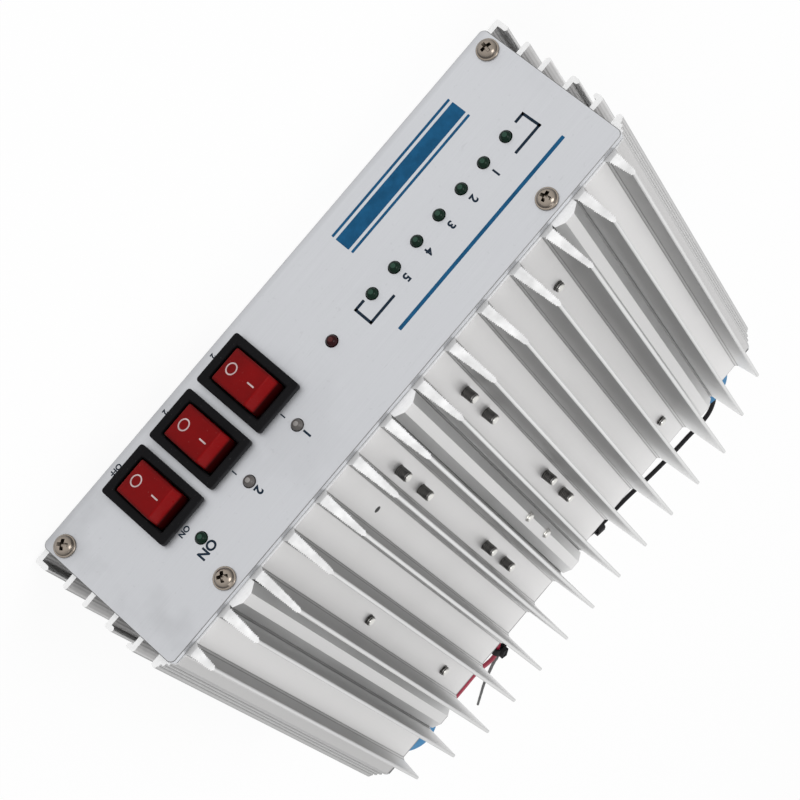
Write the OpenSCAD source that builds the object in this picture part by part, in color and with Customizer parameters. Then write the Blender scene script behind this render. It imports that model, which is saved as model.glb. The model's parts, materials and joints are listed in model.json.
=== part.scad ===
// Mobile radio power amplifier: a finned extrusion closed by two panels and a
// sliding bottom cover. The lengths are in millimetres. X runs to the right of
// someone facing the front panel, Y runs to the back and Z runs up. The case
// stands on its rails at Z = 0, and the origin is under the middle of its box.

/* [Case] */
// Width of the front and rear panels
panel_w = 163; // [156:0.5:176]
// Height from the rails to the tips of the tall fins
case_h = 61.3; // [58:0.1:68]
// Length of the extruded housing between the panels
body_len = 168; // [156:1:220]
// Thickness of the housing's side walls
wall_t = 3; // [2.6:0.1:3.4]
// Thickness of the deck that carries the fins
deck_t = 5; // [4:0.1:6]
// Thickness of the front and rear panels
panel_t = 2; // [1.5:0.1:2.5]
// Corner radius of the panels
panel_r = 1.6; // [0.8:0.1:2]
// How far the panels reach past the side walls
panel_over = 0.5; // [0.3:0.1:0.8]
// How far the panels' top edges lie below the deck
panel_drop = 0.6; // [0.3:0.1:1]
// How far the panels' bottom edges lie above the rails' feet
panel_lift = 0.2; // [0.1:0.1:0.5]
// Thickness of the bottom cover
cover_t = 1.5; // [1:0.1:1.8]

/* [Fins] */
// Number of fins
fin_count = 14; // [14:2:16]
// Height of the tall fins above the deck
fin_h = 14.7; // [12:0.1:18]
// Thickness of a fin at its root
fin_root = 2.5; // [2:0.1:3]
// Thickness of a fin at its tip
fin_tip = 1; // [0.7:0.1:1.5]
// Height of the small foot at each fin's root
foot_h = 0.8; // [0.4:0.1:1.2]
// How far the foot reaches out on each side of a fin
foot_w = 0.6; // [0.3:0.1:0.8]
// How much lower the second fin from each side is
second_drop = 3.1; // [1:0.1:5]
// How much lower the outermost fin on each side is
outer_drop = 7.2; // [4:0.1:9]
// Distance from a panel's end to the middle of the outermost fin
fin_inset = 5.8; // [5:0.1:8]
// Width of the flat top of the ridges that fill three gaps between fins
bump_top = 3; // [2:0.1:4]
// Height of the ridges above the deck
bump_h = 2.2; // [1.8:0.1:3]
// Height of the ridges' edges beside the feet of the fins
bump_side = 0.9; // [0.4:0.1:1.2]

/* [Side ribs] */
// Reach of the ribs past the side wall
rib_out = 4.7; // [3.5:0.1:6]
// Thickness of the ribs and their lips
rib_t = 1.4; // [1.2:0.1:1.8]
// Height of the bottom hook's rib
hook_z = 1.2; // [1:0.1:1.6]
// Height of the end of the bottom hook's lip
hook_top = 4.5; // [3.5:0.1:6]
// Height of the lower plain rib
rib_low_z = 11; // [9.5:0.1:12.5]
// Height of the upper plain rib
rib_high_z = 18; // [16:0.1:20]
// Height of the middle of the side slot
slot_z = 30.5; // [29.5:0.1:31.5]
// Distance between the two ribs that form the side slot
slot_w = 8.8; // [8.2:0.1:9.6]
// Width of the side slot's mouth between its lips
slot_mouth = 5; // [4:0.1:5.6]
// Reach of the sloping shoulder's tip past the side wall
tip_out = 4; // [3:0.1:5]
// How far the shoulder's tip lies below the deck
tip_drop = 4.8; // [4.4:0.1:5.8]
// Thickness of the shoulder at its tip
tip_t = 1.6; // [1.2:0.1:2]
// Number of grip grooves along each shoulder
groove_count = 3; // [0:1:4]
// Depth of the grip grooves
groove_d = 0.4; // [0.2:0.1:0.6]

/* [Screws] */
// Radius of the panel screws' heads
head_r = 2.9; // [2.4:0.1:3.2]
// Height of the panel screws' heads
head_h = 2; // [1.5:0.1:2.5]
// Radius of the panel screws' shanks
shank_r = 1.5; // [1.2:0.1:1.8]
// Length of the panel screws under the head
shank_len = 12; // [8:1:16]
// Wall round the screw channels in the housing
channel_wall = 2.4; // [1.6:0.1:2.8]
// Distance from a panel's end to the lower screws
screw_edge = 3.6; // [3.4:0.1:4.2]
// Height of the lower screws
screw_low_z = 5; // [4.8:0.1:6]
// How far the upper screws lie below the deck
screw_drop = 4.5; // [4:0.1:5.5]
// Radius of the inner machine screws' heads
inner_head_r = 2.6; // [2.2:0.1:2.8]
// Height of the inner machine screws' heads
inner_head_h = 1.8; // [1.2:0.1:2]
// Radius of the inner machine screws' shanks
inner_r = 1.45; // [1.2:0.05:1.6]
// How far the power devices' screws come up out of the deck
device_tip = 3.6; // [2:0.1:5]
// How far the main board's screws come up out of the deck
board_tip = 1.3; // [0.5:0.1:3]
// How far the bias sensor's screws stay below the top of the middle ridge
sensor_recess = 0.2; // [0:0.1:1]

/* [Switches] */
// Distance of the last switch from the panel's right end
switch_inset = 26.7; // [25:0.1:28]
// Distance between neighbouring switches
switch_pitch = 17.4; // [16:0.1:18.4]
// Height of the switches' middle
switch_z = 14.4; // [13.6:0.1:15.4]
// Width of a switch's bezel
bezel_w = 15; // [14.4:0.1:15.6]
// Height of a switch's bezel
bezel_h = 21.6; // [20.6:0.1:22.4]
// How far the bezel stands in front of the panel
bezel_t = 2; // [1.5:0.1:2.5]
// Width of a switch's body behind the panel
switch_w = 13; // [12.8:0.1:13.4]
// Height of a switch's body behind the panel
switch_h = 19.2; // [19:0.1:19.6]
// Depth of a switch's body behind the panel's face
switch_d = 14; // [11:0.5:18]
// Thickness of the switch body's back
switch_back = 1.5; // [1:0.1:2]
// Width of a rocker
rocker_w = 9.6; // [9:0.1:10.4]
// Length of a rocker from end to end at its pin
rocker_len = 16.3; // [15.6:0.1:16.6]
// Length of a rocker's flat face, between its sloping ends
rocker_top = 12.9; // [12:0.1:13.2]
// Height of a rocker's flat face above its pin
rocker_rise = 5.73; // [5.4:0.01:6]
// Tilt of a rocker to each side
rocker_tilt = 13; // [10:0.5:14]
// Distance of the rocker's pin behind the panel's face
pin_y = 1.5; // [1.3:0.1:2]
// Radius of the rocker's pin
pin_r = 1; // [0.8:0.1:1.2]
// Length of a rocker's pin past its side
pin_len = 0.9; // [0.6:0.1:1]
// Width of the solder blades
blade_w = 4.8; // [3.5:0.1:6.3]
// Thickness of the solder blades
blade_t = 0.8; // [0.5:0.1:1]
// Length of the solder blades behind the switch
blade_len = 7; // [5:0.5:9]
// Distance between a switch's two blades
blade_gap = 9; // [7:0.5:12]

/* [Lamps] */
// Distance of the first level lamp from the panel's left end
level_inset = 17.5; // [16:0.5:19.5]
// Place of the last level lamp, to the left of the middle
level_end = 15.1; // [14:0.1:17]
// Height of the row of level lamps
level_z = 23.5; // [22:0.1:25]
// Place of the peak lamp, to the left of the middle
peak_x = 0.4; // [0:0.1:1]
// Height of the lamps above the switches
status_z = 30.8; // [30:0.1:32]
// Radius of a lamp's lens
lamp_r = 1.45; // [1.2:0.05:1.6]
// How far a lens stands in front of the panel
lamp_proud = 1.5; // [1:0.1:2]
// How far a lamp's foot reaches past its lens
lamp_foot = 0.45; // [0.2:0.05:0.6]
// Distance from the front panel to the indicator board
lamp_gap = 3; // [2.5:0.1:4]
// Thickness of the circuit boards
board_t = 1.6; // [1.2:0.1:2]
// Half height of the indicator board's strips
strip_half = 4; // [3.4:0.1:4.4]
// Radius of the indicator board's spacers
stud_r = 2.4; // [2.2:0.1:3]
// Radius of the small screws in those spacers
stud_screw_r = 1; // [0.8:0.1:1.2]

/* [Sockets] */
// Distance from a panel's end to a socket's middle
socket_inset = 14.6; // [14.4:0.1:15.6]
// Height of the sockets' middle
socket_z = 29.4; // [27:0.1:30]
// Radius of a socket's threaded barrel
barrel_r = 7.95; // [7:0.05:8.2]
// Length of the barrel behind its flange
barrel_len = 20; // [15:0.5:23]
// Radius of a socket's flange
flange_r = 9.4; // [8.8:0.1:10]
// Thickness of a socket's flange
flange_t = 2; // [1.5:0.1:3]
// Radius of a socket's neck through the panel
neck_r = 7.4; // [6.8:0.1:7.6]
// Length of the neck inside the panel
neck_len = 6; // [5:0.5:9]
// Radius of the insulator in a socket
insulator_r = 6; // [5:0.1:6.3]
// Depth of the open mouth in front of the insulator
mouth_d = 6; // [3:0.5:8]
// Radius of the centre contact
contact_r = 2.8; // [2.6:0.1:3.4]
// Radius of the hole in the centre contact
contact_hole = 2; // [1.6:0.1:2.2]
// Width of a socket's nut across its flats
nut_w = 17.6; // [17:0.1:18]
// Thickness of a socket's nut
nut_t = 3.5; // [2.5:0.1:4.5]
// Wall of a dust cap round the barrel
cap_wall = 2.3; // [1.5:0.1:2.6]
// Thickness of a dust cap's end
cap_end = 3; // [2:0.1:4]
// Width of the sloping edge at a dust cap's end
cap_edge = 1.2; // [0.8:0.1:2]

/* [Circuit] */
// Distance from the housing's front end to the main board
board_front = 20; // [19:0.5:24]
// Distance from the housing's rear end to the main board
board_back = 10; // [10:0.5:13]
// Distance from the board's side to its screws
board_edge = 5.4; // [4:0.1:6]
// Distance from the board's front edge to its left front screw
left_front = 6.5; // [5:0.5:9]
// Distance from the board's rear edge to its left rear screw
left_rear = 9; // [5:0.5:12]
// Distance from the board's front edge to its right front screw
right_front = 55; // [48:0.5:58]
// Distance from the board's rear edge to its right rear screw
right_rear = 13; // [8:0.5:16]
// Distance from the board's screws to the middle of the parts beside them
side_inset = 10.6; // [10:0.1:11.4]
// Half the gap between the two transformers
part_gap = 1; // [0.5:0.5:3]
// How far the bias sensor lies left of the middle
sensor_x = 1; // [0:0.1:2]
// How far the bias sensor's middle lies behind the rear devices
sensor_back = 6.4; // [5:0.1:10]
// Distance from the deck down to the main board
board_gap = 1.6; // [1.5:0.1:2.4]
// Radius of the main board's spacers
spacer_r = 3; // [2.6:0.1:4]
// Distance between a power device's two screws
device_pitch = 19; // [18.4:0.1:20]
// Length of a power device's flange
device_len = 25; // [24.4:0.1:26]
// Width of a power device's flange
device_w = 6.4; // [6:0.1:7]
// Width of a power device's body
device_body = 9.6; // [9:0.1:10]
// Height of a power device's body below the board's far face
device_h = 2.4; // [1.5:0.1:4]
// Distance from the housing's front end to the front devices
device_front = 34.6; // [33:0.1:38]
// Distance from the housing's rear end to the rear devices
device_rear = 53.1; // [50:0.1:55]
// How far the devices' screws lie outside the middle of their fin gap
device_shift = 0.8; // [0:0.1:1.2]
// Length of the output transformer
out_len = 28; // [24:0.5:30]
// Width of the output transformer
out_w = 20; // [16:0.5:21]
// Height of the output transformer
out_h = 14; // [10:0.5:18]
// Length of the input transformer
in_len = 18; // [14:0.5:22]
// Width of the input transformer
in_w = 12; // [10:0.5:13]
// Height of the input transformer
in_h = 9; // [7:0.5:12]
// Outer radius of the filter coils
coil_r = 10; // [8:0.5:11]
// Height of the filter coils
coil_h = 8; // [6:0.5:10]
// Length of a relay
relay_len = 20; // [16:0.5:22]
// Width of a relay
relay_w = 16; // [12:0.5:18]
// Height of a relay
relay_h = 15; // [12:0.5:18]
// Radius of a capacitor
can_r = 5; // [4:0.1:6]
// Height of a capacitor
can_h = 16; // [12:0.5:20]

/* [Lead] */
// Radius of the supply leads
lead_r = 0.8; // [0.7:0.05:0.9]
// Height of the leads' grommet
grommet_z = 12; // [10:0.5:14]
// Radius of the grommet's neck in the rear panel
grommet_r = 4.5; // [4:0.1:5.5]
// Radius of the grommet's rims
grommet_rim = 6; // [5.6:0.1:7]
// Thickness of the grommet's rims
rim_t = 2; // [1.5:0.1:3]
// Radius of a tinned lead end where it leaves the sleeve
strand_r = 0.6; // [0.4:0.05:0.7]
// Radius of a tinned lead end at its tip
strand_tip = 0.35; // [0.2:0.05:0.5]
// Wall of the ties round the leads
tie_wall = 0.75; // [0.5:0.05:0.8]
// Width of the ties' bands
tie_w = 2.8; // [2:0.1:3]
// Width of the ties' catches
catch_w = 2.4; // [1.8:0.1:3]
// Height of the ties' catches
catch_h = 1.6; // [1:0.1:2]
// How far a catch reaches past its band on each side
catch_over = 0.5; // [0.2:0.1:0.8]

/* [Fits] */
// Clearance round screws, lamps, necks and switch bodies
fit = 0.06; // [0.05:0.01:0.1]
// Clearance round the rockers and under the dust caps
run_gap = 0.3; // [0.25:0.05:0.4]
// Clearance round the bottom cover in its grooves
cover_gap = 0.1; // [0.05:0.05:0.2]

/* [Hidden] */
$fn = 48;
switch_count = 3;
level_count = 7;

// Levels and faces of the case, with Y counted from the front panel's face
deck_z = case_h - fin_h;
deck_low = deck_z - deck_t;
wall_x = panel_w / 2 - panel_over;
wall_in = wall_x - wall_t;
body_y = panel_t;
body_end = body_y + body_len;
rear_y = body_end + panel_t;
panel_top = deck_z - panel_drop;
fin_pitch = (panel_w - 2 * fin_inset) / (fin_count - 1);
bump_x = (fin_count / 2 - 2) * fin_pitch;

// Rails, grooves and screw channels
rail_t = 0.8;
seam = 0.01;
cover_low = rail_t + cover_gap;
groove_top = cover_low + cover_t + cover_gap;
cover_half = wall_in + 1;
rail_in = wall_in - 3;
rib_end = wall_x + rib_out - rib_t / 2;
channel_r = shank_r + fit;
screw_low_x = panel_w / 2 - screw_edge;
screw_high_z = deck_z - screw_drop;
panel_screw_places = [[-bump_x, screw_high_z], [bump_x, screw_high_z],
                      [-screw_low_x, screw_low_z], [screw_low_x, screw_low_z]];

// Switches and lamps
window_w = rocker_w + 2 * run_gap;
rocker_half = rocker_len / 2;
face_half = rocker_top / 2;
window_h = rocker_len + 2 * run_gap;
rocker_proud = rocker_rise * cos(rocker_tilt) + face_half * sin(rocker_tilt) - pin_y;
level_pitch = (panel_w / 2 - level_inset - level_end) / (level_count - 1);
function switch_at(i) = panel_w / 2 - switch_inset - (switch_count - i) * switch_pitch;
function level_at(i) = -level_end - (level_count - i) * level_pitch;
lamp_places = concat([for (i = [1:level_count]) [level_at(i), level_z]],
                     [[-peak_x, level_z]],
                     [for (i = [1:switch_count]) [switch_at(i), status_z]]);
ind_y = panel_t + lamp_gap;
stud_reach = lamp_r + lamp_foot + stud_r + 1;
stud_places = [[level_at(1) - stud_reach, level_z],
               [(level_at(level_count) - peak_x) / 2, level_z],
               [switch_at(switch_count) + stud_reach, status_z]];
stud_bore = stud_screw_r + fit;

// Sockets and dust caps
socket_x = panel_w / 2 - socket_inset;
barrel_y = rear_y + flange_t;
barrel_end = barrel_y + barrel_len;
cap_bore = barrel_r + run_gap;
cap_r = cap_bore + cap_wall;
cap_y = barrel_y + run_gap;
cap_stop = barrel_end + 1;
cap_tip = cap_stop + cap_end;

// Main board, which hangs below the deck with its parts on the lower face
board_x = 4 * fin_pitch;
board_half = board_x + board_edge;
board_y0 = body_y + board_front;
board_y1 = body_end - board_back;
board_top = deck_low - board_gap;
board_low = board_top - board_t;
board_screw_places = [[-board_x, board_y0 + left_front], [-board_x, board_y1 - left_rear],
                      [board_x, board_y0 + right_front], [board_x, board_y1 - right_rear]];
inner_hole = inner_r + fit;
device_x = fin_pitch + device_shift;
device_y_front = body_y + device_front;
device_y_rear = body_end - device_rear;
device_places = [[-device_x, device_y_front], [device_x, device_y_front],
                 [-device_x, device_y_rear], [device_x, device_y_rear]];
sensor_place = [-sensor_x, device_y_rear + sensor_back];
circuit_mid = (device_y_front + device_y_rear) / 2;
side_x = board_x - side_inset;

// The case's box runs from the proud rocker ends to the dust caps' tips
front_y = -(cap_tip - rocker_proud) / 2;

// Routes of the leads behind the case: right of the middle, behind the rear
// panel and above the floor. Each starts square to the grommet's face.
lead_out = [0, 1, 0];
end_dir = [0.59, 0.81, 0];
tip_dir = [0.575, 0.818, 0];
tail_dir = [-0.85, -0.53, 0];
black_route = [
    [-1.6, 2, 12], [-1.6, 8, 12], [-2, 15, 10], [-4, 23, 5], [-8, 32, 1.6],
    [-15, 42, 0.8], [-26, 54, 0.8], [-40, 67, 0.8], [-55, 81, 0.8],
    [-68, 96, 0.8], [-76, 111, 0.8], [-79, 124, 0.8], [-78.4, 134, 0.8],
    [-76.2, 141, 0.8], [-72.4, 145.2, 0.8], [-67.4, 145.8, 0.8],
    [-62, 144.6, 0.8], [-55.3, 143.7, 0.8], [-48.5, 142.2, 0.8],
    [-41, 140, 0.8], [-33, 137, 0.8], [-26, 133.8, 1.3], [-18, 130.6, 1.9],
    [-9, 127.4, 1.3], [2, 124.6, 0.8], [13, 123.8, 0.8], [22, 125, 0.9],
    [28.5, 128, 1.4], [32.4, 130.8, 1.8], [34.43, 133.56, 1.9], [37.2, 137.4, 1.7]];
red_route = [
    [1.6, 2, 12], [1.6, 8, 12], [2, 15, 10], [4, 23, 5], [8, 32, 1.6],
    [16, 42, 0.8], [32, 56, 0.8], [54, 71, 0.8], [74, 87, 0.8],
    [86, 103, 0.8], [86.5, 117, 0.8], [79, 127, 0.8], [68, 132.6, 0.8],
    [60, 134.3, 0.8], [52.8, 134.6, 0.8], [48, 134.4, 0.8], [44.6, 134.6, 1.1],
    [41.8, 135.1, 1.5], [39.4, 135.2, 1.75], [37.5, 134.2, 1.9],
    [35.97, 132.44, 1.9], [34, 129.7, 1.8], [30.5, 125.4, 1.4],
    [24.5, 120.2, 0.9], [17, 115.5, 0.8]];
black_tail = [[37.2, 137.4, 1.7], [40.4, 140.9, 1.15], [44, 145.1, 0.75],
              [48.1, 149.3, 0.6], [51.5, 154, 0.5], [55.3, 159.4, 0.4]];
red_tail = [[17, 115.5, 0.8], [9, 110.5, 0.5]];
// Each tie has a place, the leads' direction there, half the distance between
// the leads in it and the turn of its catch from straight up
tie_half = 0.95;
tie_places = [[[35.2, 133, 1.9], end_dir, tie_half, 0],
              [[-18, 130.6, 1.9], [0.94, -0.35, 0], 0, -90]];

// Turns the leads' places into places in the case's frame
module behind_case() { translate([0, front_y + rear_y, 0]) children(); }

// Moves shapes whose Y starts at the front panel's face into the part's frame
module in_case() { translate([0, front_y, 0]) children(); }

// Extrudes an outline, drawn as X and Z, from one Y to another
module along_y(y_a, y_b) {
    translate([0, y_b, 0]) rotate([90, 0, 0]) linear_extrude(y_b - y_a) children();
}

// A round bar along Y at a place in X and Z
module rod_y(place, r, y_a, y_b) {
    translate([place[0], y_b, place[1]]) rotate([90, 0, 0]) cylinder(r = r, h = y_b - y_a);
}

// A rectangle with rounded corners, centred in X and standing on its lower edge
module rounded_plate(w, h, r) {
    translate([-w / 2 + r, 0]) square([w - 2 * r, h]);
    translate([-w / 2, r]) square([w, h - 2 * r]);
    for (x = [-1, 1], y = [r, h - r]) translate([x * (w / 2 - r), y]) circle(r);
}

// A rectangle centred on a place
module block(place, w, h) { translate([place[0] - w / 2, place[1] - h / 2]) square([w, h]); }

// Repeats a shape on the right and, mirrored, on the left
module both_sides() { children(); mirror([1, 0]) children(); }

// One tapered fin at X = 0, from its foot on the deck to its tip
module fin(h) {
    edge = fin_tip / 4;
    polygon([[-fin_root / 2, foot_h], [-fin_tip / 2, h - edge],
             [-fin_tip / 2 + edge, h], [fin_tip / 2 - edge, h],
             [fin_tip / 2, h - edge], [fin_root / 2, foot_h]]);
}

// The sloping foot that carries a fin, sunk into the deck by one foot height
module fin_foot() {
    wide = fin_root / 2 + 2 * foot_w;
    polygon([[-wide, -foot_h], [-fin_root / 2, foot_h], [fin_root / 2, foot_h], [wide, -foot_h]]);
}

function fin_at(i) = (i - (fin_count - 1) / 2) * fin_pitch;
function fin_height(i) =
    let (edge = min(i, fin_count - 1 - i))
    fin_h - (edge == 0 ? outer_drop : edge == 1 ? second_drop : 0);

// A ridge on the deck at X = 0, with a flat top and sides that slope down to
// the feet of the two fins beside it and stay a few hairlines off them
module bump() {
    wide = fin_pitch / 2 - fin_root / 2 - foot_w - 4 * seam;
    polygon([[-wide, -foot_h], [-wide, bump_side], [-bump_top / 2, bump_h],
             [bump_top / 2, bump_h], [wide, bump_side], [wide, -foot_h]]);
}

// A rib on the right side wall with a round end
module rib(z) {
    translate([wall_x - 1, z - rib_t / 2]) square([rib_out - rib_t / 2 + 1, rib_t]);
    translate([rib_end, z]) circle(rib_t / 2);
}

// A lip along a rib's end, from one height to another, with a round tip
module lip(z, tip_z) {
    up = sign(tip_z - z);
    stop = tip_z - up * rib_t / 2;
    translate([rib_end - rib_t / 2, min(z, stop)]) square([rib_t, abs(stop - z)]);
    translate([rib_end, stop]) circle(rib_t / 2);
}

// The shoulder that slopes from the outermost fin to its tip past the side wall
module shoulder() {
    tip = [wall_x + tip_out, deck_z - tip_drop];
    top = [wall_x - 0.4, deck_z - tip_drop + tip_out + 0.4];
    difference() {
        union() {
            polygon([[wall_in, deck_low], [wall_x, tip[1] - tip_t / 2],
                     [tip[0] - tip_t / 2, tip[1] - tip_t / 2], [tip[0], tip[1]],
                     top, [wall_x - fin_inset + panel_over, deck_z], [wall_in - 1, deck_z - 1]]);
            translate([tip[0] - tip_t / 2, tip[1]]) circle(tip_t / 2);
        }
        run = tip - top;
        for (i = [1:1:groove_count])
            translate(top + run * i / (groove_count + 1.5)) circle(groove_d);
    }
}

// The right half of the housing's wall, rail and ribs
module side_wall() {
    translate([wall_in, 0]) square([wall_t, deck_z - tip_drop + 1]);
    translate([rail_in, 0]) square([wall_x - rail_in, rail_t]);
    intersection() {
        translate([screw_low_x, screw_low_z]) circle(channel_r + channel_wall);
        translate([rail_in - 9, groove_top]) square([wall_x - rail_in + 9, case_h]);
    }
    for (z = [hook_z, rib_low_z, rib_high_z, slot_z - slot_w / 2, slot_z + slot_w / 2]) rib(z);
    lip(hook_z, hook_top);
    for (s = [-1, 1]) lip(slot_z + s * slot_w / 2, slot_z + s * slot_mouth / 2);
    shoulder();
    translate([bump_x, screw_high_z]) circle(channel_r + channel_wall);
}

// The deck and side walls with their screw channels and cover grooves
module shell_profile() {
    difference() {
        union() {
            translate([-wall_x + 1, deck_low]) square([2 * wall_x - 2, deck_t - 1]);
            translate([-wall_x + fin_inset, deck_low]) square([2 * (wall_x - fin_inset), deck_t]);
            both_sides() side_wall();
            for (i = [0:fin_count - 1]) translate([fin_at(i), deck_z]) fin_foot();
            for (x = [-bump_x, 0, bump_x]) translate([x, deck_z]) bump();
        }
        for (place = panel_screw_places) translate(place) circle(channel_r);
        both_sides() translate([rail_in - 1, rail_t])
            square([cover_half + cover_gap - rail_in + 1, groove_top - rail_t]);
    }
}

// The deck, its ridges, the two side walls and the fins are solids that meet at
// a hairline
module housing_profile() {
    intersection() {
        shell_profile();
        translate([-wall_in, deck_low / 2]) square([2 * wall_in, case_h]);
    }
    both_sides() intersection() {
        shell_profile();
        union() {
            translate([wall_in + seam, -1]) square([wall_t + 2 * rib_out, case_h]);
            translate([wall_in / 2, -1]) square([wall_in, deck_low / 2]);
        }
    }
    for (i = [0:fin_count - 1]) translate([fin_at(i), deck_z]) fin(fin_height(i));
}

// Places of the screws that come up through the deck
function device_screws_at(place) = [for (s = [-1, 1]) place + [0, s * device_pitch / 2]];
deck_screw_places = [for (place = concat(device_places, [sensor_place]))
                     each device_screws_at(place)];

module housing() {
    color("silver") in_case() difference() {
        along_y(body_y, body_end) housing_profile();
        for (place = concat(deck_screw_places, board_screw_places))
            translate([place[0], place[1], deck_low - 1]) cylinder(r = inner_hole, h = case_h);
    }
}

module bottom_cover() {
    color("lightgray") in_case()
        along_y(body_y, body_end) translate([-cover_half, cover_low]) square([2 * cover_half, cover_t]);
}

module panel_outline() {
    difference() {
        translate([0, panel_lift]) rounded_plate(panel_w, panel_top - panel_lift, panel_r);
        for (place = panel_screw_places) translate(place) circle(channel_r);
    }
}

module front_panel() {
    color("gainsboro") in_case() along_y(0, panel_t) difference() {
        panel_outline();
        for (i = [1:switch_count])
            block([switch_at(i), switch_z], switch_w + 2 * fit, switch_h + 2 * fit);
        for (place = lamp_places) translate(place) circle(lamp_r + fit);
    }
}

module rear_panel() {
    color("gainsboro") in_case() along_y(body_end, rear_y) difference() {
        panel_outline();
        for (s = [-1, 1]) translate([s * socket_x, socket_z]) circle(neck_r + fit);
        translate([0, grommet_z]) circle(grommet_r + fit);
    }
}

// A cross-recess screw along +Y whose head sits on Y = 0
module panel_screw() {
    difference() {
        union() {
            rod_y([0, 0], head_r, -head_h * 0.45, 0);
            translate([0, -head_h * 0.45, 0]) rotate([90, 0, 0])
                cylinder(r1 = head_r, r2 = head_r * 0.6, h = head_h * 0.55);
            rod_y([0, 0], shank_r, 0, shank_len);
        }
        for (turn = [0, 90]) rotate([0, turn, 0])
            translate([-head_r * 0.5, -head_h - 1, -head_r * 0.12])
                cube([head_r, head_h * 0.5 + 1, head_r * 0.24]);
    }
}

module panel_screws() {
    color("darkkhaki") in_case() for (place = panel_screw_places) {
        translate([place[0], 0, place[1]]) panel_screw();
        translate([place[0], rear_y, place[1]]) rotate([0, 0, 180]) panel_screw();
    }
}

// A switch's frame: bezel in front of the panel and hollow body behind it
module switch_frame(i) {
    color("black") in_case() translate([switch_at(i), 0, switch_z]) difference() {
        union() {
            along_y(-bezel_t, 0) translate([0, -bezel_h / 2]) rounded_plate(bezel_w, bezel_h, 0.8);
            along_y(0, switch_d) block([0, 0], switch_w, switch_h);
        }
        along_y(-bezel_t - 1, switch_d - switch_back) block([0, 0], window_w, window_h);
        translate([-switch_w / 2 - 1, pin_y, 0]) rotate([0, 90, 0])
            cylinder(r = pin_r + fit, h = switch_w + 2);
    }
}

module switch_frame_1() { switch_frame(1); }
module switch_frame_2() { switch_frame(2); }
module switch_frame_3() { switch_frame(3); }

// A rocker's side outline about its pin, as height over place along the rocker
module rocker_outline() {
    polygon([[-rocker_half, 0], [-face_half, rocker_rise], [face_half, rocker_rise], [rocker_half, 0],
             [pin_r * 2.5, -pin_r * 2.6], [-pin_r * 2.5, -pin_r * 2.6]]);
}

// A rocker at rest, with its upper end out
module rocker(i) {
    color("red") in_case() translate([switch_at(i), pin_y, switch_z])
        rotate([rocker_tilt, 0, 0]) {
            rotate([90, 0, 90]) translate([0, 0, -rocker_w / 2])
                linear_extrude(rocker_w) rotate(90) rocker_outline();
            rotate([0, 90, 0]) cylinder(r = pin_r, h = rocker_w + 2 * pin_len, center = true);
        }
}

module rocker_1() { rocker(1); }
module rocker_2() { rocker(2); }
module rocker_3() { rocker(3); }

module switch_blades(i) {
    color("gold") in_case() translate([switch_at(i), 0, switch_z])
        for (s = [-1, 1])
            along_y(switch_d, switch_d + blade_len) block([0, s * blade_gap / 2], blade_w, blade_t);
}

module switch_blades_1() { switch_blades(1); }
module switch_blades_2() { switch_blades(2); }
module switch_blades_3() { switch_blades(3); }

// A lamp through the panel, whose foot stands on the indicator board
module lamp(place) {
    in_case() {
        translate([place[0], lamp_r - lamp_proud, place[1]]) sphere(lamp_r);
        rod_y(place, lamp_r, lamp_r - lamp_proud, ind_y);
        rod_y(place, lamp_r + lamp_foot, ind_y - 1, ind_y);
    }
}

module level_lamp(i) { color("limegreen") lamp([level_at(i), level_z]); }
module level_lamp_1() { level_lamp(1); }
module level_lamp_2() { level_lamp(2); }
module level_lamp_3() { level_lamp(3); }
module level_lamp_4() { level_lamp(4); }
module level_lamp_5() { level_lamp(5); }
module level_lamp_6() { level_lamp(6); }
module level_lamp_7() { level_lamp(7); }
module peak_lamp() { color("firebrick") lamp([-peak_x, level_z]); }
module drive_lamp() { color("lightgray") lamp([switch_at(1), status_z]); }
module preamp_lamp() { color("lightgray") lamp([switch_at(2), status_z]); }
module power_lamp() { color("limegreen") lamp([switch_at(3), status_z]); }

module indicator_board() {
    left = stud_places[0][0] - stud_r - 1;
    right = stud_places[2][0] + stud_r + 1;
    bridge = stud_places[1][0] - stud_r - 2;
    bridge_end = strip_half - peak_x;
    color("darkgreen") in_case() along_y(ind_y, ind_y + board_t) difference() {
        union() {
            translate([left, level_z - strip_half]) square([bridge_end - left, 2 * strip_half]);
            translate([bridge, status_z - strip_half]) square([right - bridge, 2 * strip_half]);
            translate([bridge, level_z - strip_half])
                square([bridge_end - bridge, status_z - level_z + 2 * strip_half]);
        }
        for (place = stud_places) translate(place) circle(stud_bore);
    }
}

module indicator_spacers() {
    color("goldenrod") in_case() along_y(panel_t, ind_y)
        for (place = stud_places) translate(place) difference() {
            circle(stud_r);
            circle(stud_bore);
        }
}

module indicator_screws() {
    color("gray") in_case() for (place = stud_places) {
        rod_y(place, stud_screw_r, panel_t + 0.5, ind_y + board_t);
        rod_y(place, stud_screw_r * 1.9, ind_y + board_t, ind_y + board_t + stud_screw_r * 1.2);
    }
}

module main_board() {
    color("seagreen") in_case() translate([0, 0, board_low]) linear_extrude(board_t) difference() {
        translate([-board_half, board_y0]) square([2 * board_half, board_y1 - board_y0]);
        for (place = board_screw_places) translate(place) circle(inner_hole);
        for (place = device_places) block(place, device_body + 1, device_len + 1);
        block(sensor_place, device_w + 0.6, device_len + 1);
    }
}

module board_spacers() {
    color("white") in_case() for (place = board_screw_places)
        translate([place[0], place[1], board_top]) linear_extrude(board_gap) difference() {
            circle(spacer_r);
            circle(inner_hole);
        }
}

// An inner machine screw that points up from the face its head sits on
module inner_screw(place, seat_z, tip_z) {
    translate([place[0], place[1], seat_z - inner_head_h]) cylinder(r = inner_head_r, h = inner_head_h);
    translate([place[0], place[1], seat_z]) cylinder(r = inner_r, h = tip_z - seat_z);
}

module board_screws() {
    color("gray") in_case() for (place = board_screw_places)
        inner_screw(place, board_low, deck_z + board_tip);
}

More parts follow.
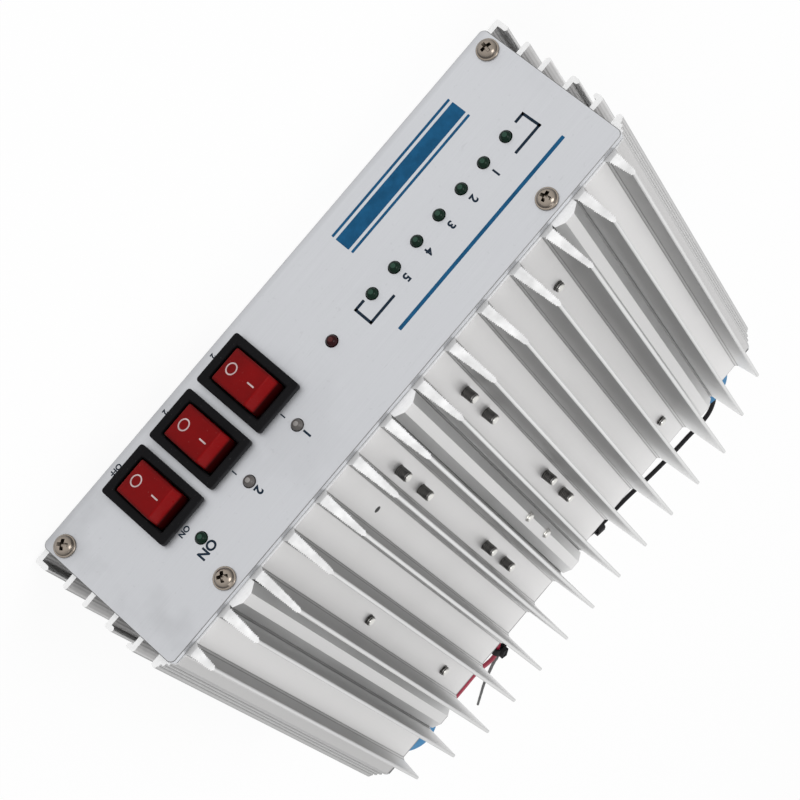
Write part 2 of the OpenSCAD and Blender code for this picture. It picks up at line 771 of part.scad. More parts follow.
device_seat = deck_low - board_gap;

module device_screws() {
    color("gray") in_case() {
        for (device = device_places, place = device_screws_at(device))
            inner_screw(place, device_seat, deck_z + device_tip);
        for (place = device_screws_at(sensor_place))
            inner_screw(place, device_seat, deck_z + bump_h - sensor_recess);
    }
}

// A flange on the deck's lower face with its two screw holes
module device_flange(place) {
    translate([0, 0, device_seat]) linear_extrude(board_gap) difference() {
        block(place, device_w, device_len);
        for (hole = device_screws_at(place)) translate(hole) circle(inner_hole);
    }
}

// A power transistor: flange on the deck, body in the board's cut-out, leads on the board
module power_transistor(i) {
    place = device_places[i - 1];
    lead_reach = device_body + 7;
    color("ivory") in_case() {
        device_flange(place);
        translate([0, 0, board_low - device_h]) linear_extrude(device_seat - board_low + device_h)
            block(place, device_body, device_body);
        translate([0, 0, board_low - 0.2]) linear_extrude(0.2)
            for (s = [-1, 1]) block(place + [0, s * device_body / 4], lead_reach, device_body / 3);
    }
}

module power_transistor_1() { power_transistor(1); }
module power_transistor_2() { power_transistor(2); }
module power_transistor_3() { power_transistor(3); }
module power_transistor_4() { power_transistor(4); }

module bias_sensor() {
    color("dimgray") in_case() {
        device_flange(sensor_place);
        translate([sensor_place[0], sensor_place[1], board_low])
            cylinder(r = device_w / 2 - 0.4, h = device_seat - board_low);
    }
}

// A ferrite block with two tunnels along X and the winding's ends on the board
module transformer(place, len, w, h) {
    tunnel = h * 0.2;
    difference() {
        translate([place[0] - len / 2, place[1] - w / 2, board_low - h]) cube([len, w, h]);
        for (s = [-1, 1])
            translate([place[0] - len / 2 - 1, place[1] + s * w / 4, board_low - h / 2])
                rotate([0, 90, 0]) cylinder(r = tunnel, h = len + 2);
    }
}

module output_transformer() {
    color("dimgray") in_case() transformer([0, circuit_mid + part_gap + out_w / 2], out_len, out_w, out_h);
}

module input_transformer() {
    color("dimgray") in_case() transformer([0, circuit_mid - part_gap - in_w / 2], in_len, in_w, in_h);
}

// A block or can that hangs from the board's lower face
module relay(place) {
    color("royalblue") in_case() translate([place[0] - relay_w / 2, place[1] - relay_len / 2, board_low - relay_h])
        cube([relay_w, relay_len, relay_h]);
}

module relay_1() { relay([-side_x, device_y_front + 0.6 * relay_len]); }
module relay_2() { relay([side_x, device_y_rear]); }

// A ring core with its winding, flat against the board
module filter_coil(place) {
    color("peru") in_case() translate([place[0], place[1], board_low - coil_h])
        difference() {
            cylinder(r = coil_r, h = coil_h);
            translate([0, 0, -1]) cylinder(r = coil_r * 0.45, h = coil_h + 2);
        }
}

module filter_coil_1() { filter_coil([side_x, device_y_front]); }
module filter_coil_2() { filter_coil([-side_x, device_y_rear - 1.8 * coil_r]); }

module capacitor(place) {
    color("navy") in_case() translate([place[0], place[1], board_low - can_h]) cylinder(r = can_r, h = can_h);
}

module capacitor_1() { capacitor([-side_x, device_y_rear + 1.2 * can_r]); }
module capacitor_2() { capacitor([side_x, circuit_mid + 2.4 * can_r]); }

// The threaded shell of a socket: neck, flange and barrel round one bore
module socket_shell(s) {
    place = [s * socket_x, socket_z];
    color("lightsteelblue") in_case() difference() {
        union() {
            rod_y(place, neck_r, body_end - neck_len, rear_y);
            rod_y(place, flange_r, rear_y, barrel_y);
            rod_y(place, barrel_r, barrel_y, barrel_end);
        }
        rod_y(place, insulator_r + fit, body_end - neck_len - 1, barrel_end + 1);
    }
}

module input_socket() { socket_shell(-1); }
module output_socket() { socket_shell(1); }

module insulator(s) {
    place = [s * socket_x, socket_z];
    color("white") in_case() difference() {
        rod_y(place, insulator_r, body_end - neck_len, barrel_end - mouth_d);
        rod_y(place, contact_r + fit, body_end - neck_len - 1, barrel_end);
    }
}

module input_insulator() { insulator(-1); }
module output_insulator() { insulator(1); }

module contact(s) {
    place = [s * socket_x, socket_z];
    color("gold") in_case() difference() {
        rod_y(place, contact_r, body_end - neck_len - 3, barrel_end - 1);
        rod_y(place, contact_hole, barrel_end - 11, barrel_end);
    }
}

module input_contact() { contact(-1); }
module output_contact() { contact(1); }

module socket_nuts() {
    corner_r = nut_w / 2 / cos(30);
    color("silver") in_case() along_y(body_end - nut_t, body_end)
        for (s = [-1, 1]) translate([s * socket_x, socket_z]) difference() {
            circle(corner_r, $fn = 6);
            circle(neck_r + fit);
        }
}

// A push-on dust cap with a sloping edge at its closed end
module dust_cap(s) {
    place = [s * socket_x, socket_z];
    color("steelblue") in_case() difference() {
        union() {
            rod_y(place, cap_r, cap_y, cap_tip - cap_edge);
            translate([place[0], cap_tip - cap_edge, place[1]]) rotate([-90, 0, 0])
                cylinder(r1 = cap_r, r2 = cap_r - cap_edge, h = cap_edge);
        }
        rod_y(place, cap_bore, cap_y - 1, cap_stop);
    }
}

module input_cap() { dust_cap(-1); }
module output_cap() { dust_cap(1); }

// The grommet is moulded round the leads, which start at its outer face
module lead_grommet() {
    place = [0, grommet_z];
    color("black") in_case() {
        rod_y(place, grommet_rim, body_end - rim_t, body_end);
        rod_y(place, grommet_r, body_end - rim_t, rear_y + rim_t);
        rod_y(place, grommet_rim, rear_y, rear_y + rim_t);
    }
}

// Smooth route through hand-placed points, with set directions at both ends
function slope_at(route, i, first, last) =
    let (n = len(route) - 1)
    i == 0 ? first * norm(route[1] - route[0])
    : i == n ? last * norm(route[n] - route[n - 1])
    : (route[i + 1] - route[i - 1]) / 2;
function blend(a, b, u, v, t) =
    a * (2 * t ^ 3 - 3 * t ^ 2 + 1) + u * (t ^ 3 - 2 * t ^ 2 + t)
    + b * (3 * t ^ 2 - 2 * t ^ 3) + v * (t ^ 3 - t ^ 2);
function smooth(route, first, last, steps) =
    let (n = len(route) - 1)
    concat([for (i = [0:n - 1], k = [0:steps - 1])
            blend(route[i], route[i + 1], slope_at(route, i, first, last),
                  slope_at(route, i + 1, first, last), k / steps)],
           [route[n]]);
function unit(v) = v / norm(v);

// Sweeps a round section along a route, from one radius to another
module sweep(path, first, last, r_start, r_end, sides) {
    n = len(path) - 1;
    function heading(i) = i == 0 ? unit(first) : i == n ? unit(last) : unit(path[i + 1] - path[i - 1]);
    points = [for (i = [0:n])
        let (d = heading(i), side = unit(cross(d, [0, 0, 1])), up = cross(side, d),
             r = r_start + (r_end - r_start) * i / n)
        for (k = [0:sides - 1])
            path[i] + r * (cos(360 * k / sides) * side + sin(360 * k / sides) * up)];
    walls = [for (i = [0:n - 1], k = [0:sides - 1])
        let (a = i * sides + k, b = i * sides + (k + 1) % sides)
        each [[a, a + sides, b], [b, a + sides, b + sides]]];
    start = [for (k = [1:sides - 2]) [0, k, k + 1]];
    finish = [for (k = [1:sides - 2]) [n * sides, n * sides + k + 1, n * sides + k]];
    polyhedron(points, concat(walls, start, finish));
}

module black_lead() {
    color("black") behind_case()
        sweep(smooth(black_route, lead_out, end_dir, 2), lead_out, end_dir, lead_r, lead_r, 8);
}

module red_lead() {
    color("darkred") behind_case()
        sweep(smooth(red_route, lead_out, tail_dir, 2), lead_out, tail_dir, lead_r, lead_r, 8);
}

module black_lead_end() {
    color("gray") behind_case()
        sweep(smooth(black_tail, end_dir, tip_dir, 2), end_dir, tip_dir, strand_r, strand_tip, 8);
}

module red_lead_end() {
    color("gray") behind_case()
        sweep(smooth(red_tail, tail_dir, tail_dir, 2), tail_dir, tail_dir, strand_r, strand_tip, 8);
}

// A band round one or two leads, with its catch
module tie(place, dir, half, roll) {
    inner = lead_r + run_gap;
    outer = inner + tie_wall;
    translate(place) rotate([0, 0, atan2(dir[1], dir[0]) + 90]) rotate([90, 0, 0])
        rotate([0, 0, roll]) translate([0, 0, -tie_w / 2]) {
            linear_extrude(tie_w) difference() {
                union() {
                    for (s = [-1, 1]) translate([s * half, 0]) circle(outer);
                    if (half > 0) block([0, 0], 2 * half, 2 * outer);
                }
                for (s = [-1, 1]) translate([s * half, 0]) circle(inner);
                if (half > 0) block([0, 0], 2 * half, 2 * inner);
            }
            translate([-catch_w / 2, outer - tie_wall / 2, -catch_over])
                cube([catch_w, catch_h, tie_w + 2 * catch_over]);
        }
}

module lead_ties() {
    color("black") behind_case() for (at = tie_places) tie(at[0], at[1], at[2], at[3]);
}

housing();
bottom_cover();
front_panel();
rear_panel();
panel_screws();
switch_frame_1();
switch_frame_2();
switch_frame_3();
rocker_1();
rocker_2();
rocker_3();
switch_blades_1();
switch_blades_2();
switch_blades_3();
level_lamp_1();
level_lamp_2();
level_lamp_3();
level_lamp_4();
level_lamp_5();
level_lamp_6();
level_lamp_7();
peak_lamp();
drive_lamp();
preamp_lamp();
power_lamp();
indicator_board();
indicator_spacers();
indicator_screws();
main_board();
board_spacers();
board_screws();
power_transistor_1();
power_transistor_2();
power_transistor_3();
power_transistor_4();
bias_sensor();
device_screws();
output_transformer();
input_transformer();
relay_1();
relay_2();
filter_coil_1();
filter_coil_2();
capacitor_1();
capacitor_2();
input_socket();
output_socket();
input_insulator();
output_insulator();
input_contact();
output_contact();
socket_nuts();
input_cap();
output_cap();
lead_grommet();
black_lead();
red_lead();
black_lead_end();
red_lead_end();
lead_ties();
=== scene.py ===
"""Looks of a finned radio power amplifier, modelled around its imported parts."""
import json
import math
from functools import partialmethod

import bmesh
import bpy
from mathutils import Matrix, Vector


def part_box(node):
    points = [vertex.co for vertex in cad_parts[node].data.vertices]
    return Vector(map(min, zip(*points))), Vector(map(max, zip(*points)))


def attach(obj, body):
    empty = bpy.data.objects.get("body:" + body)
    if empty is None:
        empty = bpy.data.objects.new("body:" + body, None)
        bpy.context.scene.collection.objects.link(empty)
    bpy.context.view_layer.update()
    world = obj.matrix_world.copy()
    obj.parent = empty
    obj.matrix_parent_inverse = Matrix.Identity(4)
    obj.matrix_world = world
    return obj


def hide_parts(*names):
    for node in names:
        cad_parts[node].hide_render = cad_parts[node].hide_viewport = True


bl_info = {
    "name": "Finned radio power amplifier",
    "version": (1, 0, 0),
    "blender": (4, 5, 0),
    "location": "3D View > Sidebar > Amplifier",
    "description": "Models the small pieces of a finned amplifier and gives each part its finish",
    "category": "Object",
}

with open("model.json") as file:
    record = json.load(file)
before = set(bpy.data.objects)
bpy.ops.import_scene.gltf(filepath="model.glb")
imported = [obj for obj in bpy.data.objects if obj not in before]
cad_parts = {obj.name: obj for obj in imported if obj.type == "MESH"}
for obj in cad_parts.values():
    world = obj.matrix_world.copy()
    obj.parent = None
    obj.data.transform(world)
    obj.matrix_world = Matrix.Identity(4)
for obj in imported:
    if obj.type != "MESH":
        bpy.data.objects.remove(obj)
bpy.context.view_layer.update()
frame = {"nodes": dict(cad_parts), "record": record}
MM = 0.001
FACE_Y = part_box("front_panel")[0].y
BACK_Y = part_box("rear_panel")[1].y
SWITCHES = (1, 2, 3)
JOINTS = {joint["name"]: joint for joint in frame["record"]["behaviour"]["joints"]}
SLOTS = {part["node"]: part["material_slot"] for part in frame["record"]["subparts"]}

# Turns a piece modelled upwards so that it faces forwards or backwards
TO_FRONT = Matrix.Rotation(math.radians(90), 4, "X")
TO_BACK = Matrix.Rotation(math.radians(-90), 4, "X")
# Turns a rocker's outline, drawn as length and height, so that it stands in the panel
TO_ROCKER = Matrix(((0, 0, 1, 0), (0, -1, 0, 0), (1, 0, 0, 0), (0, 0, 0, 1)))

# The camera, solved from the case's edges in the picture of 800 by 800 pixels
CAMERA_FROM_FACE = (0.015881, -0.605966, 0.308386)
CAMERA_TURN = (
    (-0.647091, -0.762035, 0.024), (0.287933, -0.273408, -0.917792), (0.705951, -0.586985, 0.396335))
CAMERA_LENS = 127.44
CAMERA_SENSOR = 36
# Each light: its place, its size and its power. All of them aim at the middle of the case.
LIGHTS = (("key_light", (-0.55, -0.75, 1.15), 0.7, 7.0), ("top_light", (0.25, 0.35, 1.3), 0.9, 6.0))
LIGHT_AIM = (0, 0, 0.03)
# How much of the white surroundings lights the case, and how much of the floor is plain white
SKY_LIGHT, FLOOR_WHITE = 0.55, 0.92

# The leads' routes: across, behind the rear panel and above the floor, in millimetres
BLACK_ROUTE = (
    (-1.6, 2, 12), (-1.6, 8, 12), (-2, 15, 10), (-4, 23, 5), (-8, 32, 1.6),
    (-15, 42, 0.8), (-26, 54, 0.8), (-40, 67, 0.8), (-55, 81, 0.8),
    (-68, 96, 0.8), (-76, 111, 0.8), (-79, 124, 0.8), (-78.4, 134, 0.8),
    (-76.2, 141, 0.8), (-72.4, 145.2, 0.8), (-67.4, 145.8, 0.8),
    (-62, 144.6, 0.8), (-55.3, 143.7, 0.8), (-48.5, 142.2, 0.8),
    (-41, 140, 0.8), (-33, 137, 0.8), (-26, 133.8, 1.3), (-18, 130.6, 1.9),
    (-9, 127.4, 1.3), (2, 124.6, 0.8), (13, 123.8, 0.8), (22, 125, 0.9),
    (28.5, 128, 1.4), (32.4, 130.8, 1.8), (34.43, 133.56, 1.9), (37.2, 137.4, 1.7))
RED_ROUTE = (
    (1.6, 2, 12), (1.6, 8, 12), (2, 15, 10), (4, 23, 5), (8, 32, 1.6),
    (16, 42, 0.8), (32, 56, 0.8), (54, 71, 0.8), (74, 87, 0.8),
    (86, 103, 0.8), (86.5, 117, 0.8), (79, 127, 0.8), (68, 132.6, 0.8),
    (60, 134.3, 0.8), (52.8, 134.6, 0.8), (48, 134.4, 0.8), (44.6, 134.6, 1.1),
    (41.8, 135.1, 1.5), (39.4, 135.2, 1.75), (37.5, 134.2, 1.9),
    (35.97, 132.44, 1.9), (34, 129.7, 1.8), (30.5, 125.4, 1.4),
    (24.5, 120.2, 0.9), (17, 115.5, 0.8))
BLACK_TAIL = ((37.2, 137.4, 1.7), (40.4, 140.9, 1.15), (44, 145.1, 0.75),
              (48.1, 149.3, 0.6), (51.5, 154, 0.5), (55.3, 159.4, 0.4))
RED_TAIL = ((17, 115.5, 0.8), (9, 110.5, 0.5))
LEAD_OUT = (0, 1, 0)
BLACK_END = (0.59, 0.81, 0)
BLACK_TIP = (0.575, 0.818, 0)
RED_END = (-0.85, -0.53, 0)
# A bare end's strands round a middle one: their number, radius, reach and twist in degrees
STRANDS, STRAND_R, STRAND_REACH, STRAND_TWIST = 6, 0.22, 0.42, 540
# Each tie: its place, the leads' direction, half the leads' distance and its catch's turn
TIES = (((35.2, 133, 1.9), BLACK_END, 0.95, 0), ((-18, 130.6, 1.9), (0.94, -0.35, 0), 0, -90))
# A tie's inner radius, wall and width and its catch's sizes, in millimetres
TIE_INNER, TIE_WALL, TIE_WIDE = 1.1, 0.75, 2.8
CATCH = (2.4, 1.6, 3.8)

# The deck's height between the fins, and where the case's shoulders begin on either side
DECK_Z = 46.6 * MM
SHOULDER = 77.6 * MM
# A flush dark disc in the deck painted as a hole's shade: its place across the case and behind the front
# panel's face in millimetres
DECK_DARK_DISC = (23.2, 33.3)
# Deck screws that end lower than this above the deck are raised, as the picture shows their tips
LOW_TIP, TIP_RAISE = 2.5, 0.9
# The fins' spacing, their half thickness at tip and root, and their feet's half width and height
FIN_COUNT = 14
FIN_PITCH = 151.4 / 13
FIN_TIP_HALF, FIN_HALF, FOOT_HALF, FOOT_HIGH = 0.5, 1.25, 1.85, 0.8
# How much lower the two outermost fins on each side are
FIN_DROPS = {0: 7.2, 1: 3.1}
# The saw's burr: its thickness, the spacing of its teeth and their least and greatest reach
BURR_THICK, BURR_STEP, BURR_LEAST, BURR_MOST = 0.08, 0.27, 0.22, 0.42

# The ribs' inner side, top and the edge where a highlight is painted, each from its start to its end, and the
# spacing of the flutes' painted shade
RIB_SIDE = (80.3 * MM, 80.6 * MM)
RIB_TOP = (41.0 * MM, 41.4 * MM)
RIB_EDGE = (83.3 * MM, 83.8 * MM)
FLUTE_PITCH = 0.8 * MM
# Tones that the scene's colours don't set: painted light on the level deck, and black for what is darkened
DECK_LIT_TONE = (0.725, 0.715, 0.712)
BLACK = (0.0, 0.0, 0.0)

# The first rocker's place across the panel, and the switches' spacing
ROCKER_X, ROCKER_PITCH = 20.0 * MM, 17.4 * MM
# A switch's body behind the panel, the depth of its hollow, the play round its rocker and its lip
SWITCH_BODY = (13, 14, 19.2)
HOLLOW_DEEP, ROCKER_PLAY, LIP_WIDE, LIP_DEEP = 12.5, 0.6, 0.7, 0.45
# A rocker's mark: the ring's outer and inner radius and the bar's length and width
RING_OUTER, RING_INNER, BAR = 1.67, 1.31, (2.5, 0.4)
# Panel screws: places across the panel and above the floor, and each one's turn, front ones first
PANEL_SCREWS = ((-58.23, 42.1), (58.23, 42.1), (-77.9, 5), (77.9, 5))
SCREW_TURNS = (12, 50, 78, 33, 20, 64, 5, 41)
# A socket's thread: its turns, their spacing and the lowest one's height
THREAD_TURNS, THREAD_PITCH, THREAD_FROM = 17, 1.06, 2.9
# A dust cap's grip: its rings, their spacing and the highest one's height
GRIP_RINGS, GRIP_PITCH, GRIP_TOP = 5, 1.5, 17.5

# Prints on the front panel, as places across it and above the floor in millimetres
LEVEL_MARKS = ((-71, 28.3, -70.8, 23, -68.4, 23), (-9.6, 28.2, -9.65, 23, -12.3, 23))
LEVEL_TOPS = ((-71, -62.6, 28.25), (-17.8, -9.6, 28.2))
MARK_WIDE = 0.75
PANEL_WORDS = (
    ("1", -55.85, 26.6, 2.2), ("2", -47.7, 26.6, 2.2), ("3", -39.55, 26.6, 2.2),
    ("4", -31.4, 26.6, 2.2), ("5", -23.25, 26.6, 2.2),
    ("ON", 55.9, 32.8, 2.4), ("1", 20, 33.0, 2.3), ("2", 37.5, 33.0, 2.3),
    ("ON", 56.4, 25.7, 1.45), ("OFF", 56.3, 1.5, 1.4),
    ("1", 38.2, 25.7, 1.45), ("1", 20.6, 25.7, 1.45), ("2", 38.2, 1.5, 1.4), ("2", 20.6, 1.5, 1.4))
# A word's type size and the weight added to its strokes, as shares of its height
TYPE_SIZE, TYPE_WEIGHT = 1.42, 0.05
PANEL_STRIPES = (
    (-62.5, -20, 6.9, 11.3), (-62.5, -20, 5.4, 6.1), (-62.5, -20, 12.1, 12.8), (-72, -13, 34.4, 35.4))


def length_size(name, description, default):
    return bpy.props.FloatProperty(
        name=name, description=description, default=default, min=0, precision=5, unit="LENGTH")


def surface_colour(name, description, default):
    return bpy.props.FloatVectorProperty(
        name=name, description=description, default=default, min=0, max=1, size=3, subtype="COLOR")


class AmplifierSizes(bpy.types.PropertyGroup):
    """Sizes of the pieces that stand on the case."""
    rocker_length: length_size("Rocker length", "Length of a rocker at the height of its pin", 16.3 * MM)
    rocker_face: length_size("Rocker face", "Length of a rocker's flat face", 12.9 * MM)
    rocker_rise: length_size("Rocker rise", "Height of a rocker's flat face above its pin", 5.73 * MM)
    rocker_width: length_size("Rocker width", "Width of a rocker", 9.6 * MM)
    rocker_tilt: bpy.props.FloatProperty(
        name="Rocker tilt", description="Tilt of a rocker at rest, upper end out",
        default=math.radians(13), subtype="ANGLE")
    ring_reach: length_size("Ring reach", "Distance of a rocker's ring from its middle", 3.45 * MM)
    bar_reach: length_size("Bar reach", "Distance of a rocker's bar from its middle", 4.12 * MM)
    bezel_width: length_size("Bezel width", "Width of a switch's bezel", 15 * MM)
    bezel_height: length_size("Bezel height", "Height of a switch's bezel", 21.6 * MM)
    bezel_depth: length_size("Bezel depth", "How far a bezel stands in front of the panel", 2 * MM)
    lens_radius: length_size("Lens radius", "Radius of a lamp's lens", 1.45 * MM)
    head_radius: length_size("Screw head radius", "Radius of a panel screw's head", 2.9 * MM)
    lead_diameter: length_size("Lead diameter", "Diameter of a supply lead over its insulation", 1.6 * MM)
    black_length: length_size("Black lead length", "Length of the black lead up to its bare end", 0.293)
    red_length: length_size("Red lead length", "Length of the red lead up to its bare end", 0.2375)
    ink_depth: length_size("Ink depth", "Thickness of the printed ink", 0.03 * MM)


class AmplifierColours(bpy.types.PropertyGroup):
    """Colours of the finishes, in linear values."""
    case: surface_colour("Case", "Drawn and anodised aluminium of the case", (0.63, 0.63, 0.628))
    cut: surface_colour("Sawn ends", "Bare aluminium where the case was sawn", (0.93, 0.93, 0.93))
    panel: surface_colour("Panels", "Anodised aluminium of the two end panels", (0.66, 0.67, 0.695))
    nickel: surface_colour("Panel screws", "Warm nickel plating of the screws", (0.36, 0.31, 0.262))
    frame: surface_colour("Switch frames", "Black plastic of the switch frames", (0.007, 0.007, 0.008))
    rocker: surface_colour("Rockers", "Red plastic of the rockers", (0.218, 0.0022, 0.003))
    ink: surface_colour("Dark ink", "Ink of the numbers and brackets", (0.005, 0.018, 0.036))
    stripe: surface_colour("Blue ink", "Ink of the plain stripes", (0.004, 0.09, 0.21))
    cap: surface_colour("Dust caps", "Blue plastic of the dust caps", (0.016, 0.17, 0.36))
    green_lens: surface_colour("Green lenses", "Tinted plastic of the green lamps", (0.004, 0.018, 0.010))
    red_lens: surface_colour("Red lens", "Tinted plastic of the red lamp", (0.026, 0.004, 0.005))


# Modelling helpers

def begin():
    """Leaves edit mode and deselects everything."""
    if bpy.context.object and bpy.context.object.mode != "OBJECT":
        bpy.ops.object.mode_set(mode="OBJECT")
    bpy.ops.object.select_all(action="DESELECT")


def activate(piece):
    begin()
    piece.select_set(True)
    bpy.context.view_layer.objects.active = piece


def shape(piece):
    """Opens a piece in edit mode with all of it selected."""
    activate(piece)
    bpy.ops.object.mode_set(mode="EDIT")
    bpy.ops.mesh.select_mode(type="VERT")
    bpy.ops.mesh.select_all(action="SELECT")


def pick(kind, test):
    """Selects the vertices, edges or faces of the piece being shaped that pass a test."""
    bpy.ops.mesh.select_mode(type=kind)
    bpy.ops.mesh.select_all(action="DESELECT")
    data = bpy.context.object.data
    mesh = bmesh.from_edit_mesh(data)
    for item in {"VERT": mesh.verts, "EDGE": mesh.edges, "FACE": mesh.faces}[kind]:
        if test(item):
            item.select_set(True)
    mesh.select_flush_mode()
    bmesh.update_edit_mesh(data)


def pick_along(axis, least):
    """Selects the edges of the piece being shaped that run further than this along an axis."""
    pick("EDGE", lambda e: abs(e.verts[0].co[axis] - e.verts[1].co[axis]) > least)


def pick_facing(axis, sign):
    """Selects the faces of the piece being shaped that face one way along an axis."""
    pick("FACE", lambda f: f.normal[axis] * sign > 0.9)


def stretch(scale):
    """Scales what is selected about the origin."""
    bpy.ops.transform.resize(value=scale, center_override=(0, 0, 0))


def draw_out(move, scale=(1, 1, 1), centre=(0, 0, 0)):
    """Extrudes what is selected, then scales its new end about a centre."""
    bpy.ops.mesh.extrude_region_move(TRANSFORM_OT_translate={"value": move})
    if tuple(scale) != (1, 1, 1):
        bpy.ops.transform.resize(value=scale, center_override=centre)


def set_down(piece, matrix):
    """Puts a piece in its place and applies the place to its mesh."""
    activate(piece)
    piece.matrix_world = matrix @ piece.matrix_world
    bpy.ops.object.transform_apply(location=True, rotation=True, scale=True)
    return piece


def spun(degrees, axis="Z"):
    return Matrix.Rotation(math.radians(degrees), 4, axis)


def in_line(name, y, facing):
    """A place on a panel's face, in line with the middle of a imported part."""
    low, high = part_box(name)
    return Matrix.Translation(((low.x + high.x) / 2, y, (low.z + high.z) / 2)) @ facing


def ring_piece(radius, height=0.0, sides=48, filled=False):
    """Adds a circle of a radius in millimetres at a height, ready to be drawn out."""
    begin()
    bpy.ops.mesh.primitive_circle_add(
        vertices=sides, radius=radius * MM, fill_type="NGON" if filled else "NOTHING",
        location=(0, 0, height * MM))
    piece = bpy.context.object
    bpy.ops.object.transform_apply(location=True)
    return piece


def turned(profile, sides=48, hollow=False):
    """Turns radii and heights in millimetres about Z, ring by ring. A hollow piece ends on its first ring."""
    piece = ring_piece(*profile[0], sides, filled=not hollow)
    shape(piece)
    for (r_from, z_from), (r_to, z_to) in zip(profile, profile[1:]):
        draw_out((0, 0, (z_to - z_from) * MM), (r_to / r_from, r_to / r_from, 1), (0, 0, z_to * MM))
    bpy.ops.mesh.select_all(action="SELECT")
    if hollow:
        bpy.ops.mesh.remove_doubles(threshold=0.001 * MM)
    bpy.ops.mesh.normals_make_consistent(inside=False)
    begin()
    return piece


def box_piece(size, place=(0, 0, 0)):
    """Adds a block of a size in millimetres at a place."""
    begin()
    bpy.ops.mesh.primitive_cube_add(size=1, location=[v * MM for v in place])
    piece = bpy.context.object
    piece.scale = [v * MM for v in size]
    bpy.ops.object.transform_apply(location=True, rotation=True, scale=True)
    return piece


def apply_modifier(piece, kind, **settings):
    """Adds a modifier with its settings and applies it."""
    activate(piece)
    modifier = piece.modifiers.new(kind.title(), kind)
    for key, value in settings.items():
        setattr(modifier, key, value)
    bpy.ops.object.modifier_apply(modifier=modifier.name)


def round_edges(piece, width, segments=3, angle=40, **settings):
    apply_modifier(piece, "BEVEL", width=width * MM, segments=segments,
                   limit_method="ANGLE", angle_limit=math.radians(angle), **settings)


def cut_away(piece, tool):
    """Cuts a tool's shape out of a piece and removes the tool."""
    apply_modifier(piece, "BOOLEAN", object=tool, operation="DIFFERENCE", solver="EXACT")
    remove(tool)


def remove(*pieces):
    for piece in pieces:
        bpy.data.objects.remove(piece, do_unlink=True)


def copy_of(piece):
    twin = piece.copy()
    twin.data = piece.data.copy()
    bpy.context.collection.objects.link(twin)
    return twin


def copy_to(piece, matrix):
    return set_down(copy_of(piece), matrix)


def join(pieces):
    """Joins pieces into the first one."""
    begin()
    for piece in pieces:
        piece.select_set(True)
    bpy.context.view_layer.objects.active = pieces[0]
    if len(pieces) > 1:
        bpy.ops.object.join()
    return bpy.context.object


def settle(piece, name, finishes, body="case", nodes=(), angle=35):
    """Gives a finished piece its normals, shading, finishes and carrier."""
    shape(piece)
    bpy.ops.mesh.normals_make_consistent(inside=False)
    activate(piece)
    bpy.ops.object.shade_smooth_by_angle(angle=math.radians(angle))
    piece.name = piece.data.name = name
    shares = [face.material_index for face in piece.data.polygons]
    piece.data.materials.clear()
    for finish in finishes.split():
        piece.data.materials.append(finish_for(finish))
    piece.data.polygons.foreach_set("material_index", shares)
    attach(piece, body)
    if nodes:
        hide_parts(*nodes)
    begin()
    return piece


def smooth_route(route, first, last, steps):
    """Points in metres of a smooth curve through a route in millimetres, with its ends' directions set."""
    spots = [Vector(p) for p in route]
    slopes = [Vector(first) * (spots[1] - spots[0]).length]
    slopes += [(b - a) / 2 for a, b in zip(spots, spots[2:])]
    slopes.append(Vector(last) * (spots[-1] - spots[-2]).length)
    points = []
    for a, b, u, v in zip(spots, spots[1:], slopes, slopes[1:]):
        for k in range(steps):
            t = k / steps
            points.append(a * (2 * t**3 - 3 * t**2 + 1) + u * (t**3 - 2 * t**2 + t)
                          + b * (3 * t**2 - 2 * t**3) + v * (t**3 - t**2))
    points.append(spots[-1])
    return [Vector((p.x * MM, BACK_Y + p.y * MM, p.z * MM)) for p in points]


def tube(name, lines, radius, sides, tapers=None):
    """A curve piece with one round line for each list of points."""
    begin()
    data = bpy.data.curves.new(name, "CURVE")
    data.dimensions = "3D"
    data.bevel_depth = radius
    data.bevel_resolution = sides
    data.use_fill_caps = True
    for number, points in enumerate(lines):
        line = data.splines.new("POLY")
        line.points.add(len(points) - 1)
        for k, (spot, point) in enumerate(zip(line.points, points)):
            spot.co = (*point, 1)
            spot.radius = tapers[number][k] if tapers else 1
        line.use_smooth = True
    piece = bpy.data.objects.new(name, data)
    bpy.context.collection.objects.link(piece)
    return piece


def as_mesh(piece):
    activate(piece)
    bpy.ops.object.convert(target="MESH")
    return bpy.context.object


def clusters(name, reach=6.8 * MM):
    """Places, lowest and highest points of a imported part's separate upright screws."""
    found = []
    for vertex in frame["nodes"][name].data.vertices:
        spot = vertex.co.copy()
        for points in found:
            if all((p.xy - spot.xy).length < reach for p in points[:3]):
                points.append(spot)
                break
        else:
            found.append([spot])
    places = []
    for points in found:
        xs, ys, zs = zip(*points)
        places.append(((min(xs) + max(xs)) / 2, (min(ys) + max(ys)) / 2, min(zs), max(zs)))
    return places


# Finishes

class Value:
    """A number in a node tree. Each sum or product of values adds a math node."""

    def __init__(self, socket):
        self.socket = socket
        self.tree = socket.id_data

    def calc(self, operation, other=0.0, swap=False):
        made = self.tree.nodes.new("ShaderNodeMath")
        made.operation = operation
        for socket, given in zip(made.inputs, (other, self) if swap else (self, other)):
            feed(socket, given)
        return Value(made.outputs[0])

    __add__ = partialmethod(calc, "ADD")
    __sub__ = partialmethod(calc, "SUBTRACT")
    __rsub__ = partialmethod(calc, "SUBTRACT", swap=True)
    __mul__ = partialmethod(calc, "MULTIPLY")
    __pow__ = partialmethod(calc, "POWER")
    __abs__ = partialmethod(calc, "ABSOLUTE")
    most = partialmethod(calc, "MAXIMUM")

    def span(self, low, high, to_low=0.0, to_high=1.0):
        """Maps the range from low to high to another, held at its ends."""
        return Value(node(self.tree, "ShaderNodeMapRange", Value=self, From_Min=low, From_Max=high,
                          To_Min=to_low, To_Max=to_high).outputs[0])


